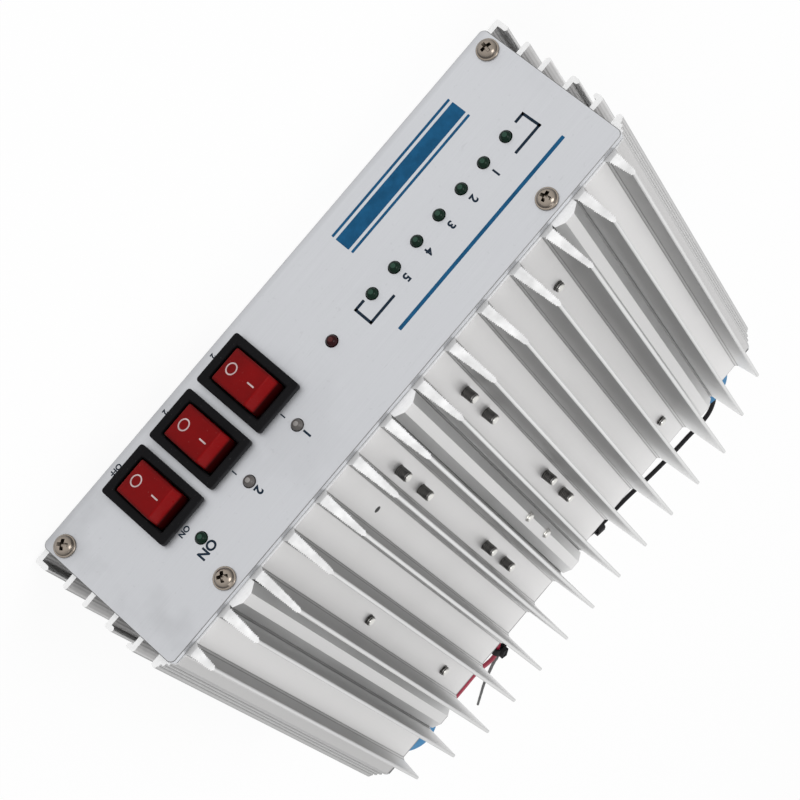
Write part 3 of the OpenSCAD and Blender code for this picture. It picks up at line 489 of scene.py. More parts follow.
def feed(socket, given):
    """Links an input to a value or a socket, or sets it to a constant."""
    given = given.socket if isinstance(given, Value) else given
    if isinstance(given, bpy.types.NodeSocket):
        socket.id_data.links.new(given, socket)
    else:
        socket.default_value = given


def node(tree, kind, **inputs):
    """Adds a shader node with its inputs, by name or by number."""
    made = tree.nodes.new(kind)
    for key, given in inputs.items():
        feed(made.inputs[int(key[1:]) if key[0] == "_" else key.replace("_", " ")], given)
    return made


def sockets(tree, inputs, outputs):
    """Gives a node group its inputs, with their defaults, and its outputs."""
    for name, default in inputs.items():
        kind = "NodeSocketFloat" if isinstance(default, float) else "NodeSocketVector"
        tree.interface.new_socket(name, in_out="INPUT", socket_type=kind).default_value = default
    for name in outputs:
        tree.interface.new_socket(name, in_out="OUTPUT", socket_type="NodeSocketFloat")
    return tree.nodes.new("NodeGroupInput").outputs, tree.nodes.new("NodeGroupOutput").inputs


def axes(vector):
    """The three parts of a vector."""
    return [Value(socket) for socket in node(vector.id_data, "ShaderNodeSeparateXYZ", Vector=vector).outputs]


def times(vector, by):
    """A vector multiplied part by part."""
    made = node(vector.id_data, "ShaderNodeVectorMath", _0=vector, _1=by)
    made.operation = "MULTIPLY"
    return made.outputs[0]


def noise(vector, scale, detail, roughness=0.5):
    return Value(node(vector.id_data, "ShaderNodeTexNoise", Vector=vector, Scale=scale, Detail=detail,
                      Roughness=roughness).outputs[0])


def mix(factor, low, high):
    """Mixes two numbers."""
    return Value(node(factor.tree, "ShaderNodeMix", _0=factor, _2=low, _3=high).outputs[0])


def blend(factor, first, second):
    """Mixes two colours, each a plain colour or a socket."""
    made = factor.tree.nodes.new("ShaderNodeMix")
    made.data_type = "RGBA"
    feed(made.inputs[0], factor)
    for socket, colour in ((made.inputs[6], first), (made.inputs[7], second)):
        feed(socket, colour if isinstance(colour, bpy.types.NodeSocket) else (*colour, 1))
    return made.outputs[2]


def shade(colour, factor, lift=0.0):
    return tuple(min(1, c * factor + lift) for c in colour)


def seen_directly(tree):
    """One for what the camera sees, also in a reflection or through glass, and zero for other light."""
    path = tree.nodes.new("ShaderNodeLightPath").outputs
    return Value(path["Is Camera Ray"]).most(Value(path["Is Glossy Ray"]).most(path["Is Transmission Ray"]))


def drawn_lines(tree):
    """Shared effect: fine lines drawn out along one direction, and the broad bands between them."""
    given, out = sockets(tree, {"Vector": (0, 0, 0), "Stretch": (1, 1, 1)}, ("Lines", "Bands"))
    fine = times(given["Vector"], given["Stretch"])
    feed(out["Lines"], noise(fine, 1.0, 3.0, 0.6).span(0.3, 0.7))
    feed(out["Bands"], noise(times(fine, (0.12, 0.12, 0.12)), 1.0, 2.0).span(0.3, 0.7))
    return tree


def handling_marks(tree):
    """Shared effect: soft clouds of handling, small dark specks and short scuffs."""
    given, out = sockets(tree, {"Vector": (0, 0, 0), "Scale": 1.0}, ("Clouds", "Specks", "Scuffs"))
    spot, scale = given["Vector"], Value(given["Scale"])
    feed(out["Clouds"], noise(spot, scale * 28.0, 4.0, 0.6).span(0.32, 0.68))
    feed(out["Specks"], noise(spot, scale * 900.0, 1.0).span(0.71, 0.78))
    feed(out["Scuffs"], noise(times(spot, (260.0, 1500.0, 900.0)), scale, 2.0).span(0.70, 0.80))
    return tree


def moulded_skin(tree):
    """Shared effect: the fine pebbling and slow tone changes of moulded plastic."""
    given, out = sockets(tree, {"Vector": (0, 0, 0), "Scale": 1.0}, ("Pebble", "Tone"))
    spot, scale = given["Vector"], Value(given["Scale"])
    feed(out["Pebble"], noise(spot, scale * 5200.0, 2.0))
    feed(out["Tone"], noise(spot, scale * 160.0, 3.0).span(0.3, 0.7))
    return tree


class Finish:
    """A material being made: its shader and tone, and the place and facing of each point of the piece."""

    def __init__(self, name, colour, metallic, roughness, **constants):
        material = bpy.data.materials.new(name)
        material.use_nodes = True
        self.tree = material.node_tree
        self.colour = self.tone = colour
        self.shader = self.tree.nodes["Principled BSDF"].inputs
        for key, value in {"Metallic": metallic, "Roughness": roughness, **constants}.items():
            self.shader[key.replace("_", " ")].default_value = value
        coordinates = self.tree.nodes.new("ShaderNodeTexCoord").outputs
        self.at, self.facing = coordinates["Object"], coordinates["Normal"]

    def effect(self, maker, **inputs):
        """Adds a shared effect, whose node group is made the first time, and gives its outputs."""
        name = maker.__name__.replace("_", " ").capitalize()
        groups = bpy.data.node_groups
        made = self.tree.nodes.new("ShaderNodeGroup")
        made.node_tree = groups.get(name) or maker(groups.new(name, "ShaderNodeTree"))
        for key, given in {"Vector": self.at, **inputs}.items():
            feed(made.inputs[key], given)
        return {socket.name: Value(socket) for socket in made.outputs}

    def vary(self, amount, low, high, lift=0.0):
        """Starts the tone between two shades of the finish's colour."""
        self.tone = blend(amount, shade(self.colour, low), shade(self.colour, high, lift))

    def tint(self, amount, to):
        """Takes the tone towards a colour, or towards a shade of the finish's own colour."""
        self.tone = blend(amount, self.tone, shade(self.colour, to) if isinstance(to, float) else to)

    def darken(self, amount):
        self.tint(amount, BLACK)

    def paint(self, changes=None, low=0.0, high=1.0):
        """Gives the shader its tone and, where it changes, its least and greatest roughness."""
        feed(self.shader["Base Color"], self.tone)
        if changes:
            feed(self.shader["Roughness"], changes.span(0.0, 1.0, low, high))

    def bump(self, height, distance, strength=0.4):
        made = node(self.tree, "ShaderNodeBump", Strength=strength, Distance=distance * MM, Height=height)
        feed(self.shader["Normal"], made.outputs[0])
        return self


def from_fin(x):
    """Distance from the middle of the nearest fin, as a share of the fins' spacing."""
    return abs((x * (1 / (FIN_PITCH * MM))).calc("FRACT") - 0.5)


def root_creases(across, above):
    """Painted shade in the creases beside a fin's foot and above it, from distances in millimetres."""
    creases = []
    for half, rise in ((FOOT_HALF, 0.0), (FIN_HALF, FOOT_HIGH)):
        reach = ((across - half) ** 2.0 + (above - rise) ** 2.0).calc("SQRT")
        creases.append(reach.span(0.12, 0.26, 1.0, 0.0))
    return creases[0].most(creases[1])


def drawn_aluminium(name, colour, cut, drawing):
    """Drawn and anodised aluminium, with bare metal where it was sawn off, and painted light and shade on its
    ribs, fin flanks, deck and shoulders.
    """
    finish = Finish(name, colour, 1.0, 0.5)
    lines = finish.effect(drawn_lines, Stretch=drawing)
    marks = finish.effect(handling_marks, Scale=1.0)
    x, y, z = axes(finish.at)
    face_x, face_y, face_z = axes(finish.facing)
    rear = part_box("housing")[1].y
    side = abs(x)
    across = from_fin(x) * FIN_PITCH
    above = (z - DECK_Z) * (1 / MM)
    finish.vary(lines["Lines"], 0.985, 1.012)
    finish.tint(marks["Specks"] * 0.12, 0.4)
    # Painted shade in the creases at the fins' roots
    finish.tint(root_creases(across, above) * 0.55, 0.12)

    # Ribs with a painted highlight on their outer edges, painted shade on those edges towards +x, and painted
    # shade in stripes for their flutes
    beside, below = side.span(*RIB_SIDE), z.span(*RIB_TOP, 1.0, 0.0)
    rib = beside * below
    edge = rib * side.span(*RIB_EDGE)
    flute_shade = ((side + z) * (2 * math.pi / FLUTE_PITCH)).calc("SINE").span(-0.2, 0.6)
    # Painted highlight on the ribs' outer edges
    finish.tint(edge, 1.2)
    # Painted shade on those edges, growing towards +x
    finish.darken(edge * x.span(-SHOULDER, SHOULDER, 0.0, 0.35))
    # Painted shade in stripes standing for the flutes
    finish.tint(flute_shade * (rib - edge * 0.72) * 0.92, 0.1)

    # Flanks of the fins: painted shade that fades out towards the rear, where they turn paler towards the
    # bare metal's colour
    flank = abs(face_x).span(0.7, 0.95) * above.span(0.6, 1.0)
    # Painted shade on the flanks
    finish.darken(flank * y.span(rear - 50 * MM, rear - 14 * MM, 0.24, 0.0))
    finish.tint(flank * y.span(rear - 22 * MM, rear, 0.0, 0.65), cut)

    # The level deck with painted light, painted shade growing towards +x over the whole case, a painted
    # shadow along the deck's rear brink and painted shade streaked over the shoulders
    level = face_z.span(0.9, 0.99) * above.span(2.0, 2.6, 1.0, 0.0)
    # Painted light on the level deck, which faces up
    finish.tint(level * 0.6, DECK_LIT_TONE)
    # Painted shade over the whole case, growing towards +x
    finish.darken(x.span(0.0, SHOULDER, 0.0, 0.15))
    # Painted shadow along the deck's rear brink, stronger towards +x
    brink_shadow = level * y.span(rear - 0.7 * MM, rear - 0.4 * MM)
    finish.darken(brink_shadow * x.span(5 * MM, 12 * MM, 0.15, 0.6))
    # Painted shade on the shoulders, streaked and stronger towards +x
    shoulder = side.span(SHOULDER, SHOULDER + 0.6 * MM) * (1.0 - below)
    streaked_shade = lines["Bands"].span(0.0, 1.0, 0.9, 1.1) * x.span(-SHOULDER, SHOULDER, 0.2, 0.27)
    finish.darken(shoulder * streaked_shade)

    # Sawn ends, shaded at the fins' roots
    sawn = abs(face_y).span(0.6, 0.8)
    teeth = finish.effect(drawn_lines, Stretch=(1500.0, 1500.0, 3600.0))["Lines"]
    root = above.span(0.45, 1.0, 0.27, 0.0) * across.span(FOOT_HALF, FOOT_HALF + 0.3, 1.0, 0.0)
    bare = blend(root * above.span(-1.0, -0.6), blend(teeth, shade(cut, 0.93), cut), BLACK)
    finish.tint(sawn, bare)
    finish.paint()
    satin = marks["Clouds"].span(0.0, 1.0, 0.46, 0.56)
    feed(finish.shader["Roughness"], mix(sawn, satin, 0.62))
    height = (lines["Lines"] * 0.5 + lines["Bands"] * 0.5) * (1.0 - beside.most(shoulder))
    finish.bump(mix(sawn, height, teeth), 0.012, 0.45)


def worn_edges(finish, clouds):
    """Darkens a panel with painted shade towards higher x, makes it darker towards its lower edge, smudges
    it, and paints shade along its upper edge: in the seam at the front panel's back, in patches before each
    fin and all along the rear panel.
    """
    low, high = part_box("front_panel")
    x, y, z = axes(finish.at)
    # Painted shade, growing towards higher x
    finish.darken(x.span(low.x, high.x, 0.0, 0.07))
    finish.darken(z.span(low.z, low.z + 1.8 * MM, 0.16, 0.0))
    finish.darken(clouds.span(0.62, 0.9) * x.span(0.0, high.x, 0.02, 0.09))
    # Painted shade along the upper edge: in the seam, in patches before each fin and along the whole rear
    # panel
    upper = z.span(high.z - 0.12 * MM, high.z - 0.05 * MM)
    seam = y.span(high.y - 0.34 * MM, high.y - 0.2 * MM) * clouds.span(0.2, 0.6, 0.4, 0.85)
    before = from_fin(x).span(0.11, 0.15, 0.34, 0.12)
    finish.darken(upper * seam.most(before).most(y.span(0.0, 1 * MM, 0.0, 0.75)))


def sheet_aluminium(name, colour, brushing, roughness, worn=False):
    """Brushed and anodised sheet with faint handling marks, and painted shade along its edges where asked."""
    finish = Finish(name, colour, 1.0, roughness)
    lines = finish.effect(drawn_lines, Stretch=brushing)["Lines"]
    marks = finish.effect(handling_marks, Scale=1.0)
    finish.vary(lines, 0.975, 1.015)
    finish.tint(marks["Scuffs"] * 0.25, 0.72)
    finish.tint(marks["Specks"] * 0.1, 0.5)
    if worn:
        worn_edges(finish, marks["Clouds"])
    finish.paint(marks["Clouds"], roughness - 0.05, roughness + 0.06)
    finish.bump(lines, 0.01, 0.35)


def moulded(name, colour, roughness, pebble=0.02, scale=1.0, specular=0.5):
    """Moulded plastic or rubber with a fine skin."""
    finish = Finish(name, colour, 0.0, roughness, Specular_IOR_Level=specular)
    skin = finish.effect(moulded_skin, Scale=scale)
    marks = finish.effect(handling_marks, Scale=2.0)
    finish.vary(skin["Tone"], 0.88, 1.1)
    finish.tint(marks["Specks"] * 0.25, shade(colour, 1.0, 0.12))
    finish.paint(marks["Clouds"], max(0.05, roughness - 0.06), roughness + 0.08)
    return finish.bump(skin["Pebble"], pebble)


def plated(name, colour, roughness, grain=(900.0, 900.0, 900.0)):
    """Plated or plain metal with a fine grain and dulled spots."""
    finish = Finish(name, colour, 1.0, roughness)
    lines = finish.effect(drawn_lines, Stretch=grain)
    marks = finish.effect(handling_marks, Scale=4.0)
    finish.vary(lines["Bands"], 0.86, 1.08)
    finish.tint(marks["Specks"] * 0.4, 0.4)
    finish.paint(marks["Clouds"], max(0.05, roughness - 0.08), roughness + 0.1)
    return finish.bump(lines["Lines"], 0.008)


def rocker_plastic(name, colour):
    """Red plastic with painted light over the raised end, painted shade where that end goes down into its
    frame, and painted shade along its sides.
    """
    finish = moulded(name, colour, 0.3, 0.008, 0.8, 0.08)
    x, y, _ = axes(finish.at)
    end = axes(finish.facing)[2].span(0.3, 0.7)
    # Painted light on the raised end, which faces up
    finish.tint(end * 0.7, 1.16)
    # Painted shade where that end goes down into its frame
    finish.darken(end * y.span(FACE_Y - 3.0 * MM, FACE_Y - 2.3 * MM) * 0.9)
    # Painted shade along the rocker's sides
    step = (x - ROCKER_X) * (1 / ROCKER_PITCH) + 0.5
    aside = abs(step.calc("FRACT") - 0.5) * ROCKER_PITCH
    finish.darken(aside.span(3.9 * MM, 4.8 * MM, 0.0, 0.5))
    finish.paint()


def screw_plating(name, colour):
    """Warm nickel with painted shade on the heads' flanks and in their recesses."""
    finish = plated(name, colour, 0.24)
    # Painted shade on faces that turn away from the front or back
    finish.tint(abs(axes(finish.facing)[1]).span(0.35, 0.97, 0.9, 0.0), 0.22)
    finish.paint()


def printed(name, colour):
    """Screen-printed ink, a little uneven in tone."""
    finish = Finish(name, colour, 0.0, 0.5, Specular_IOR_Level=0.15)
    skin = finish.effect(moulded_skin, Scale=2.5)
    finish.vary(skin["Tone"], 0.85, 1.15, 0.004)
    finish.paint(skin["Tone"], 0.42, 0.58)
    finish.bump(skin["Pebble"], 0.004)


def wound(name, colour):
    """Varnished wire, wound turn by turn."""
    finish = Finish(name, colour, 0.0, 0.35, Coat_Weight=0.4)
    wave = node(finish.tree, "ShaderNodeTexWave", Vector=finish.at, Scale=700.0, Distortion=0.6)
    wave.bands_direction = "Z"
    turns = Value(wave.outputs["Fac"])
    finish.vary(turns, 0.5, 1.15)
    finish.tint(finish.effect(moulded_skin, Scale=1.0)["Tone"] * 0.3, 0.7)
    finish.paint()
    finish.bump(turns, 0.1, 0.6)


def circuit_board(name, colour):
    """Green lacquer over copper tracks."""
    finish = Finish(name, colour, 0.0, 0.35, Coat_Weight=0.3)
    bricks = node(finish.tree, "ShaderNodeTexBrick", Vector=finish.at, Scale=160.0, Mortar_Size=0.06,
                  Brick_Width=0.9, Row_Height=0.3)
    tracks = Value(bricks.outputs["Fac"])
    finish.vary(tracks, 1.0, 1.9)
    finish.tint(finish.effect(moulded_skin, Scale=1.0)["Tone"] * 0.4, 0.7)
    finish.paint()
    finish.bump(tracks, 0.03, 0.5)


# Each finish: its maker and the values for it. A name stands for one of the scene's colours.
FINISHES = {
    "housing": (drawn_aluminium, "case", "cut", (2600.0, 14.0, 2600.0)),
    "panel": (sheet_aluminium, "panel", (45.0, 3200.0, 3200.0), 0.48, True),
    "cover": (sheet_aluminium, (0.5985, 0.5985, 0.5966), (2200.0, 40.0, 2200.0), 0.45),
    "panel_screw": (screw_plating, "nickel"),
    "switch_frame": (moulded, "frame", 0.38, 0.02, 1.0, 0.07),
    "rocker": (rocker_plastic, "rocker"),
    "brass": (plated, (0.68, 0.48, 0.2), 0.32),
    "lamp_green": (moulded, "green_lens", 0.2, 0.004, 1.5, 0.1),
    "lamp_red": (moulded, "red_lens", 0.2, 0.004, 1.5, 0.1),
    "lamp_clear": (moulded, (0.11, 0.10, 0.095), 0.2, 0.004, 1.5, 0.3),
    "board": (circuit_board, (0.012, 0.09, 0.035)),
    "steel_screw": (plated, (0.42, 0.42, 0.42), 0.36),
    "white_plastic": (moulded, (0.8, 0.8, 0.78), 0.45, 0.01),
    "ceramic": (moulded, (0.74, 0.7, 0.62), 0.5, 0.02),
    "ferrite": (moulded, (0.03, 0.03, 0.032), 0.6, 0.06),
    "relay": (moulded, (0.02, 0.06, 0.25), 0.35, 0.015),
    "winding": (wound, (0.42, 0.16, 0.06)),
    "capacitor": (moulded, (0.008, 0.012, 0.05), 0.3, 0.008),
    "plated": (plated, (0.72, 0.71, 0.68), 0.2),
    "dust_cap": (moulded, "cap", 0.5, 0.02, 1.0, 0.15),
    "grommet": (moulded, (0.014, 0.014, 0.014), 0.65, 0.05),
    "black_lead": (moulded, (0.006, 0.006, 0.007), 0.55, 0.015, 1.0, 0.15),
    "red_lead": (moulded, (0.27, 0.008, 0.035), 0.42, 0.015),
    "tinned": (plated, (0.14, 0.14, 0.14), 0.38),
    "dark_steel": (plated, (0.2, 0.195, 0.19), 0.22),
    # Near black for the disc painted as a hole's shade
    "hole": (moulded, (0.03, 0.03, 0.03), 0.6),
    # The panels' broken edges: dark metal as painted shade along the edge and seam lines
    "sheared_edge": (plated, (0.17, 0.17, 0.17), 0.5),
    "sawn_edge": (plated, "cut", 0.6, (2500.0, 2500.0, 2500.0)),
    "dark_ink": (printed, "ink"),
    "blue_ink": (printed, "stripe"),
    "white_ink": (printed, (0.66, 0.52, 0.52)),
    # Painted highlights on the tops of the lamps' domes
    "lens_spot_green": (moulded, (0.022, 0.065, 0.042), 0.15, 0.003, 1.5, 0.2),
    "lens_spot_red": (moulded, (0.075, 0.014, 0.013), 0.15, 0.003, 1.5, 0.2),
    "lens_spot_clear": (moulded, (0.3, 0.28, 0.27), 0.15, 0.003, 1.5),
}


def finish_for(slot):
    """The finish of a slot, made the first time it is asked for."""
    name = slot + "_finish"
    if name not in bpy.data.materials:
        colours = bpy.context.scene.amplifier_colours
        maker, *values = FINISHES[slot]
        maker(name, *(getattr(colours, v) if isinstance(v, str) else v for v in values))
    return bpy.data.materials[name]


# Operators, one for each piece or group of like pieces

class AMPLIFIER_OT_stage(bpy.types.Operator):
    """Add the camera, the floor, the lights and the white surroundings"""
    bl_idname = "amplifier.stage"
    bl_label = "Stage"

    def execute(self, context):
        begin()
        bpy.ops.object.camera_add()
        camera = context.object
        x, y, z = CAMERA_FROM_FACE
        rows = [(*row, v) for row, v in zip(CAMERA_TURN, (x, FACE_Y + y, z))]
        camera.matrix_world = Matrix(rows + [(0, 0, 0, 1)])
        camera.data.lens = CAMERA_LENS
        camera.data.sensor_width = CAMERA_SENSOR
        context.scene.camera = camera
        context.scene.view_settings.view_transform = "Standard"

        world = context.scene.world or bpy.data.worlds.new("Surroundings")
        context.scene.world = world
        world.use_nodes = True
        tree = world.node_tree
        background = tree.nodes["Background"].inputs
        background["Color"].default_value = (1, 1, 1, 1)
        feed(background["Strength"], seen_directly(tree).span(0.0, 1.0, SKY_LIGHT, 1.0))

        bpy.ops.mesh.primitive_plane_add(size=8)
        floor = context.object
        floor.name = "floor"
        floor.data.materials.append(self.pale_floor())

        for name, place, size, power in LIGHTS:
            bpy.ops.object.light_add(type="AREA", location=place)
            light = context.object
            light.name = name
            light.data.size = size
            light.data.energy = power
            light.rotation_euler = (Vector(LIGHT_AIM) - Vector(place)).to_track_quat("-Z", "Y").to_euler()
        begin()
        return {"FINISHED"}

    def pale_floor(self):
        """Nearly white to the eye, with a little of the shadow that falls on it."""
        pale = bpy.data.materials.new("pale_floor")
        pale.use_nodes = True
        tree = pale.node_tree
        shader = tree.nodes["Principled BSDF"]
        shader.inputs["Base Color"].default_value = (0.86, 0.86, 0.86, 1)
        shader.inputs["Roughness"].default_value = 0.9
        shader.inputs["Specular IOR Level"].default_value = 0.0
        glow = node(tree, "ShaderNodeEmission", Color=(1, 1, 1, 1), Strength=1.0)
        mixed = node(tree, "ShaderNodeMixShader", _0=seen_directly(tree) * FLOOR_WHITE,
                     _1=shader.outputs[0], _2=glow.outputs[0])
        feed(tree.nodes["Material Output"].inputs["Surface"], mixed.outputs[0])
        return pale


class AMPLIFIER_OT_leads(bpy.types.Operator):
    """Lay the two supply leads with their bare twisted ends and the ties round them"""
    bl_idname = "amplifier.leads"
    bl_label = "Supply leads"

    def execute(self, context):
        sizes = context.scene.amplifier_sizes
        ties = [settle(join([self.tie(*values) for values in TIES]), "lead_tie_bands",
                       "black_lead", nodes=["lead_ties"])]
        for name, route, tail, end, tip, length in (
                ("black_lead", BLACK_ROUTE, BLACK_TAIL, BLACK_END, BLACK_TIP, sizes.black_length),
                ("red_lead", RED_ROUTE, RED_TAIL, RED_END, RED_END, sizes.red_length)):
            points = smooth_route(route, LEAD_OUT, end, 6)
            lead = tube(name + "_wire", [points], sizes.lead_diameter / 2, 6)
            lead.data.materials.append(finish_for(name))
            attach(lead, "case")
            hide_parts(name)
            bare = self.bare_end(name + "_strands", smooth_route(tail, end, tip, 8))
            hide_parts(name + "_end")
        return {"FINISHED"}

    def bare_end(self, name, path):
        """Tinned strands twisted round a middle one and drawn to a point."""
        lines, tapers = [], []
        last = len(path) - 1
        for strand in range(STRANDS + 1):
            line, taper = [], []
            for k, spot in enumerate(path):
                ahead = (path[min(k + 1, last)] - path[max(k - 1, 0)]).normalized()
                side = ahead.cross(Vector((0, 0, 1))).normalized()
                up = side.cross(ahead)
                share = k / last
                reach = 0 if strand == STRANDS else (STRAND_REACH - 0.14 * share) * MM
                turn = math.radians(360 / STRANDS * strand + STRAND_TWIST * share)
                line.append(spot + reach * (math.cos(turn) * side + math.sin(turn) * up))
                taper.append(1.0 - 0.3 * share)
            lines.append(line)
            tapers.append(taper)
        bare = as_mesh(tube(name, lines, STRAND_R * MM, 2, tapers))
        return settle(bare, name, "tinned", angle=60)

    def tie(self, place, ahead, half, roll):
        """A band round one lead or two, with its bevelled catch."""
        outer = TIE_INNER + TIE_WALL
        band = ring_piece(outer, -TIE_WIDE / 2)
        shape(band)
        for side in (-1, 1):
            pick("VERT", lambda v: v.co.x * side > 0.01 * MM)
            bpy.ops.transform.translate(value=(side * half * MM, 0, 0))
        bpy.ops.mesh.select_mode(type="EDGE")
        bpy.ops.mesh.select_all(action="SELECT")
        draw_out((0, 0, TIE_WIDE * MM))
        bpy.ops.mesh.select_all(action="SELECT")
        bpy.ops.mesh.normals_make_consistent(inside=False)
        apply_modifier(band, "SOLIDIFY", thickness=TIE_WALL * MM, offset=-1.0, use_even_offset=True)
        round_edges(band, 0.18, 2)
        catch = box_piece(CATCH, (0, outer - TIE_WALL / 2 + CATCH[1] / 2, 0))
        shape(catch)
        pick_facing(1, 1)
        bpy.ops.mesh.inset(thickness=0.45 * MM)
        draw_out((0, -0.35 * MM, 0))
        round_edges(catch, 0.15, 2)
        heading = math.atan2(ahead[1], ahead[0]) + math.pi / 2
        spot = Matrix.Translation((place[0] * MM, BACK_Y + place[1] * MM, place[2] * MM))
        turn = Matrix.Rotation(heading, 4, "Z") @ spun(90, "X") @ spun(roll)
        return set_down(join([band, catch]), spot @ turn)


class AMPLIFIER_OT_switches(bpy.types.Operator):
    """Model the three switch frames and their rockers with the printed marks"""
    bl_idname = "amplifier.switches"
    bl_label = "Rocker switches"

    def execute(self, context):
        sizes = context.scene.amplifier_sizes
        patterns = bezel, rocker, marks = [
            make(sizes) for make in (self.frame_piece, self.rocker_piece, self.mark_piece)]
        for number in SWITCHES:
            pin = Vector(JOINTS["rocker_%d_tilt" % number]["pos_m"])
            settle(copy_to(bezel, Matrix.Translation((pin.x, FACE_Y, pin.z))), "switch_bezel_%d" % number,
                   "switch_frame", nodes=["switch_frame_%d" % number])
            stand = Matrix.Translation(pin) @ Matrix.Rotation(sizes.rocker_tilt, 4, "X") @ TO_ROCKER
            body = "rocker_%d" % number
            settle(copy_to(rocker, stand), "rocker_key_%d" % number, "rocker", body, [body], 25)
            settle(copy_to(marks, stand), "rocker_marks_%d" % number, "white_ink", body)
        remove(*patterns)
        return {"FINISHED"}

    def frame_piece(self, sizes):
        """A bezel with rounded corners, a sloping inner lip and the hollow body behind it."""
        wide, high, deep = (v / MM for v in (sizes.bezel_width, sizes.bezel_height, sizes.bezel_depth))
        window_w, window_h = (v / MM + ROCKER_PLAY for v in (sizes.rocker_width, sizes.rocker_length))
        body_w, body_d, body_h = SWITCH_BODY
        lip_w, lip_h = window_w + LIP_WIDE, window_h + LIP_WIDE
        piece = box_piece((wide, deep, high), (0, -deep / 2, 0))
        shape(piece)
        pick_along(1, deep * 0.5 * MM)
        bpy.ops.mesh.bevel(offset=0.8 * MM, segments=4, profile=0.5)
        pick_facing(1, 1)
        bpy.ops.mesh.inset(thickness=0.5 * MM)
        stretch((body_w / (wide - 1), 1, body_h / (high - 1)))
        draw_out((0, body_d * MM, 0))
        pick_facing(1, -1)
        bpy.ops.mesh.inset(thickness=0.5 * MM)
        stretch((lip_w / (wide - 1), 1, lip_h / (high - 1)))
        draw_out((0, LIP_DEEP * MM, 0), (window_w / lip_w, 1, window_h / lip_h))
        draw_out((0, (deep - LIP_DEEP + HOLLOW_DEEP) * MM, 0))
        round_edges(piece, 0.22, 3, 50)
        return piece

    def rocker_piece(self, sizes):
        """A keystone slab, drawn in below its pin and rounded along its edges."""
        long, rise, width = (v / MM for v in (sizes.rocker_length, sizes.rocker_rise, sizes.rocker_width))
        piece = box_piece((long, rise, width), (0, rise / 2, 0))
        shape(piece)
        pick_facing(1, 1)
        stretch((sizes.rocker_face / sizes.rocker_length, 1, 1))
        pick_facing(1, -1)
        draw_out((0, -2.6 * MM, 0), (5 / long, 1, 1))
        round_edges(piece, 0.4, 4, 30)
        end = width / 2 + 0.9
        pin = turned([(0.9, -end), (1, 0.1 - end), (1, end - 0.1), (0.9, end)], 24)
        return join([piece, pin])

    def mark_piece(self, sizes):
        """The ring at one end of the face and the bar at the other."""
        on_face = Matrix(((1, 0, 0, 0), (0, 0, 1, sizes.rocker_rise), (0, -1, 0, 0), (0, 0, 0, 1)))
        ring = ring_piece(RING_OUTER, sides=64)
        shape(ring)
        draw_out((0, 0, 0), (RING_INNER / RING_OUTER, RING_INNER / RING_OUTER, 1))
        bpy.ops.mesh.select_all(action="SELECT")
        draw_out((0, 0, sizes.ink_depth))
        bar = box_piece((*BAR, sizes.ink_depth / MM), (0, 0, sizes.ink_depth / 2 / MM))
        shape(bar)
        pick_along(2, sizes.ink_depth / 2)
        bpy.ops.mesh.bevel(offset=0.1 * MM, segments=2)
        set_down(ring, on_face @ Matrix.Translation((-sizes.ring_reach, 0, 0)))
        set_down(bar, on_face @ Matrix.Translation((sizes.bar_reach, 0, 0)))
        return join([ring, bar])


class AMPLIFIER_OT_lamps(bpy.types.Operator):
    """Model the lamps with their domed lenses"""
    bl_idname = "amplifier.lamps"
    bl_label = "Lamps"

    def execute(self, context):
        radius = context.scene.amplifier_sizes.lens_radius / MM
        dome = [(radius * math.cos(math.radians(a)), 0.05 + radius * math.sin(math.radians(a)))
                for a in range(0, 88, 8)]
        lens = turned([(1.9, -5), (1.9, -4.15), (1.85, -4), (radius, -4)] + dome, 32)
        # The top of each dome takes a lighter colour: a painted highlight
        for face in lens.data.polygons:
            face.material_index = int(face.center.z > 1.38 * MM)
        for name, slot in SLOTS.items():
            if name.endswith("_lamp") or name.startswith("level_lamp"):
                spot = slot.replace("lamp", "lens_spot")
                settle(copy_to(lens, in_line(name, FACE_Y, TO_FRONT)), name + "_lens",
                       slot + " " + spot, nodes=[name])
        remove(lens)
        return {"FINISHED"}


class AMPLIFIER_OT_panel_screws(bpy.types.Operator):
    """Model the pan-head screws that hold the two panels"""
    bl_idname = "amplifier.panel_screws"
    bl_label = "Panel screws"

    def execute(self, context):
        r = context.scene.amplifier_sizes.head_radius / MM
        screw = turned([
            (1.0, -11), (1.45, -10.5), (1.45, 0), (r, 0), (r, 0.38), (r - 0.12, 0.52), (r - 0.36, 0.56),
            (r - 0.42, 0.66), (r - 0.52, 1.0), (r - 0.8, 1.4), (r - 1.25, 1.74), (r - 1.8, 1.94),
            (r - 2.4, 2.0)], 40)
        for turn in (0, 90):
            tool = box_piece((3.5, 1.0, 1.6), (0, 0, 1.5))
            shape(tool)
            pick_facing(2, -1)
            stretch((0.4, 0.6, 1))
            cut_away(screw, set_down(tool, spun(turn)))
        turns = iter(SCREW_TURNS)
        screws = [
            copy_to(screw, Matrix.Translation((x * MM, y, z * MM)) @ facing @ spun(next(turns)))
            for y, facing in ((FACE_Y, TO_FRONT), (BACK_Y, TO_BACK)) for x, z in PANEL_SCREWS]
        remove(screw)
        settle(join(screws), "panel_screw_set", "panel_screw",
               nodes=["panel_screws"], angle=28)
        return {"FINISHED"}


class AMPLIFIER_OT_panels(bpy.types.Operator):
    """Model the two end panels with their edges broken"""
    bl_idname = "amplifier.panels"
    bl_label = "End panels"

    def execute(self, context):
        for name in ("front_panel", "rear_panel"):
            plate = copy_of(frame["nodes"][name])
            shape(plate)
            bpy.ops.mesh.remove_doubles(threshold=0.002 * MM)
            bpy.ops.mesh.dissolve_limited(angle_limit=math.radians(1))
            begin()
            # The broken edges take a dark metal: painted shade along the panels' edges and seams
            plate.data.materials.append(finish_for("sheared_edge"))
            round_edges(plate, 0.17, 1, material=1, use_clamp_overlap=False)
            settle(plate, name + "_plate", "panel sheared_edge", nodes=[name], angle=0.5)
        return {"FINISHED"}


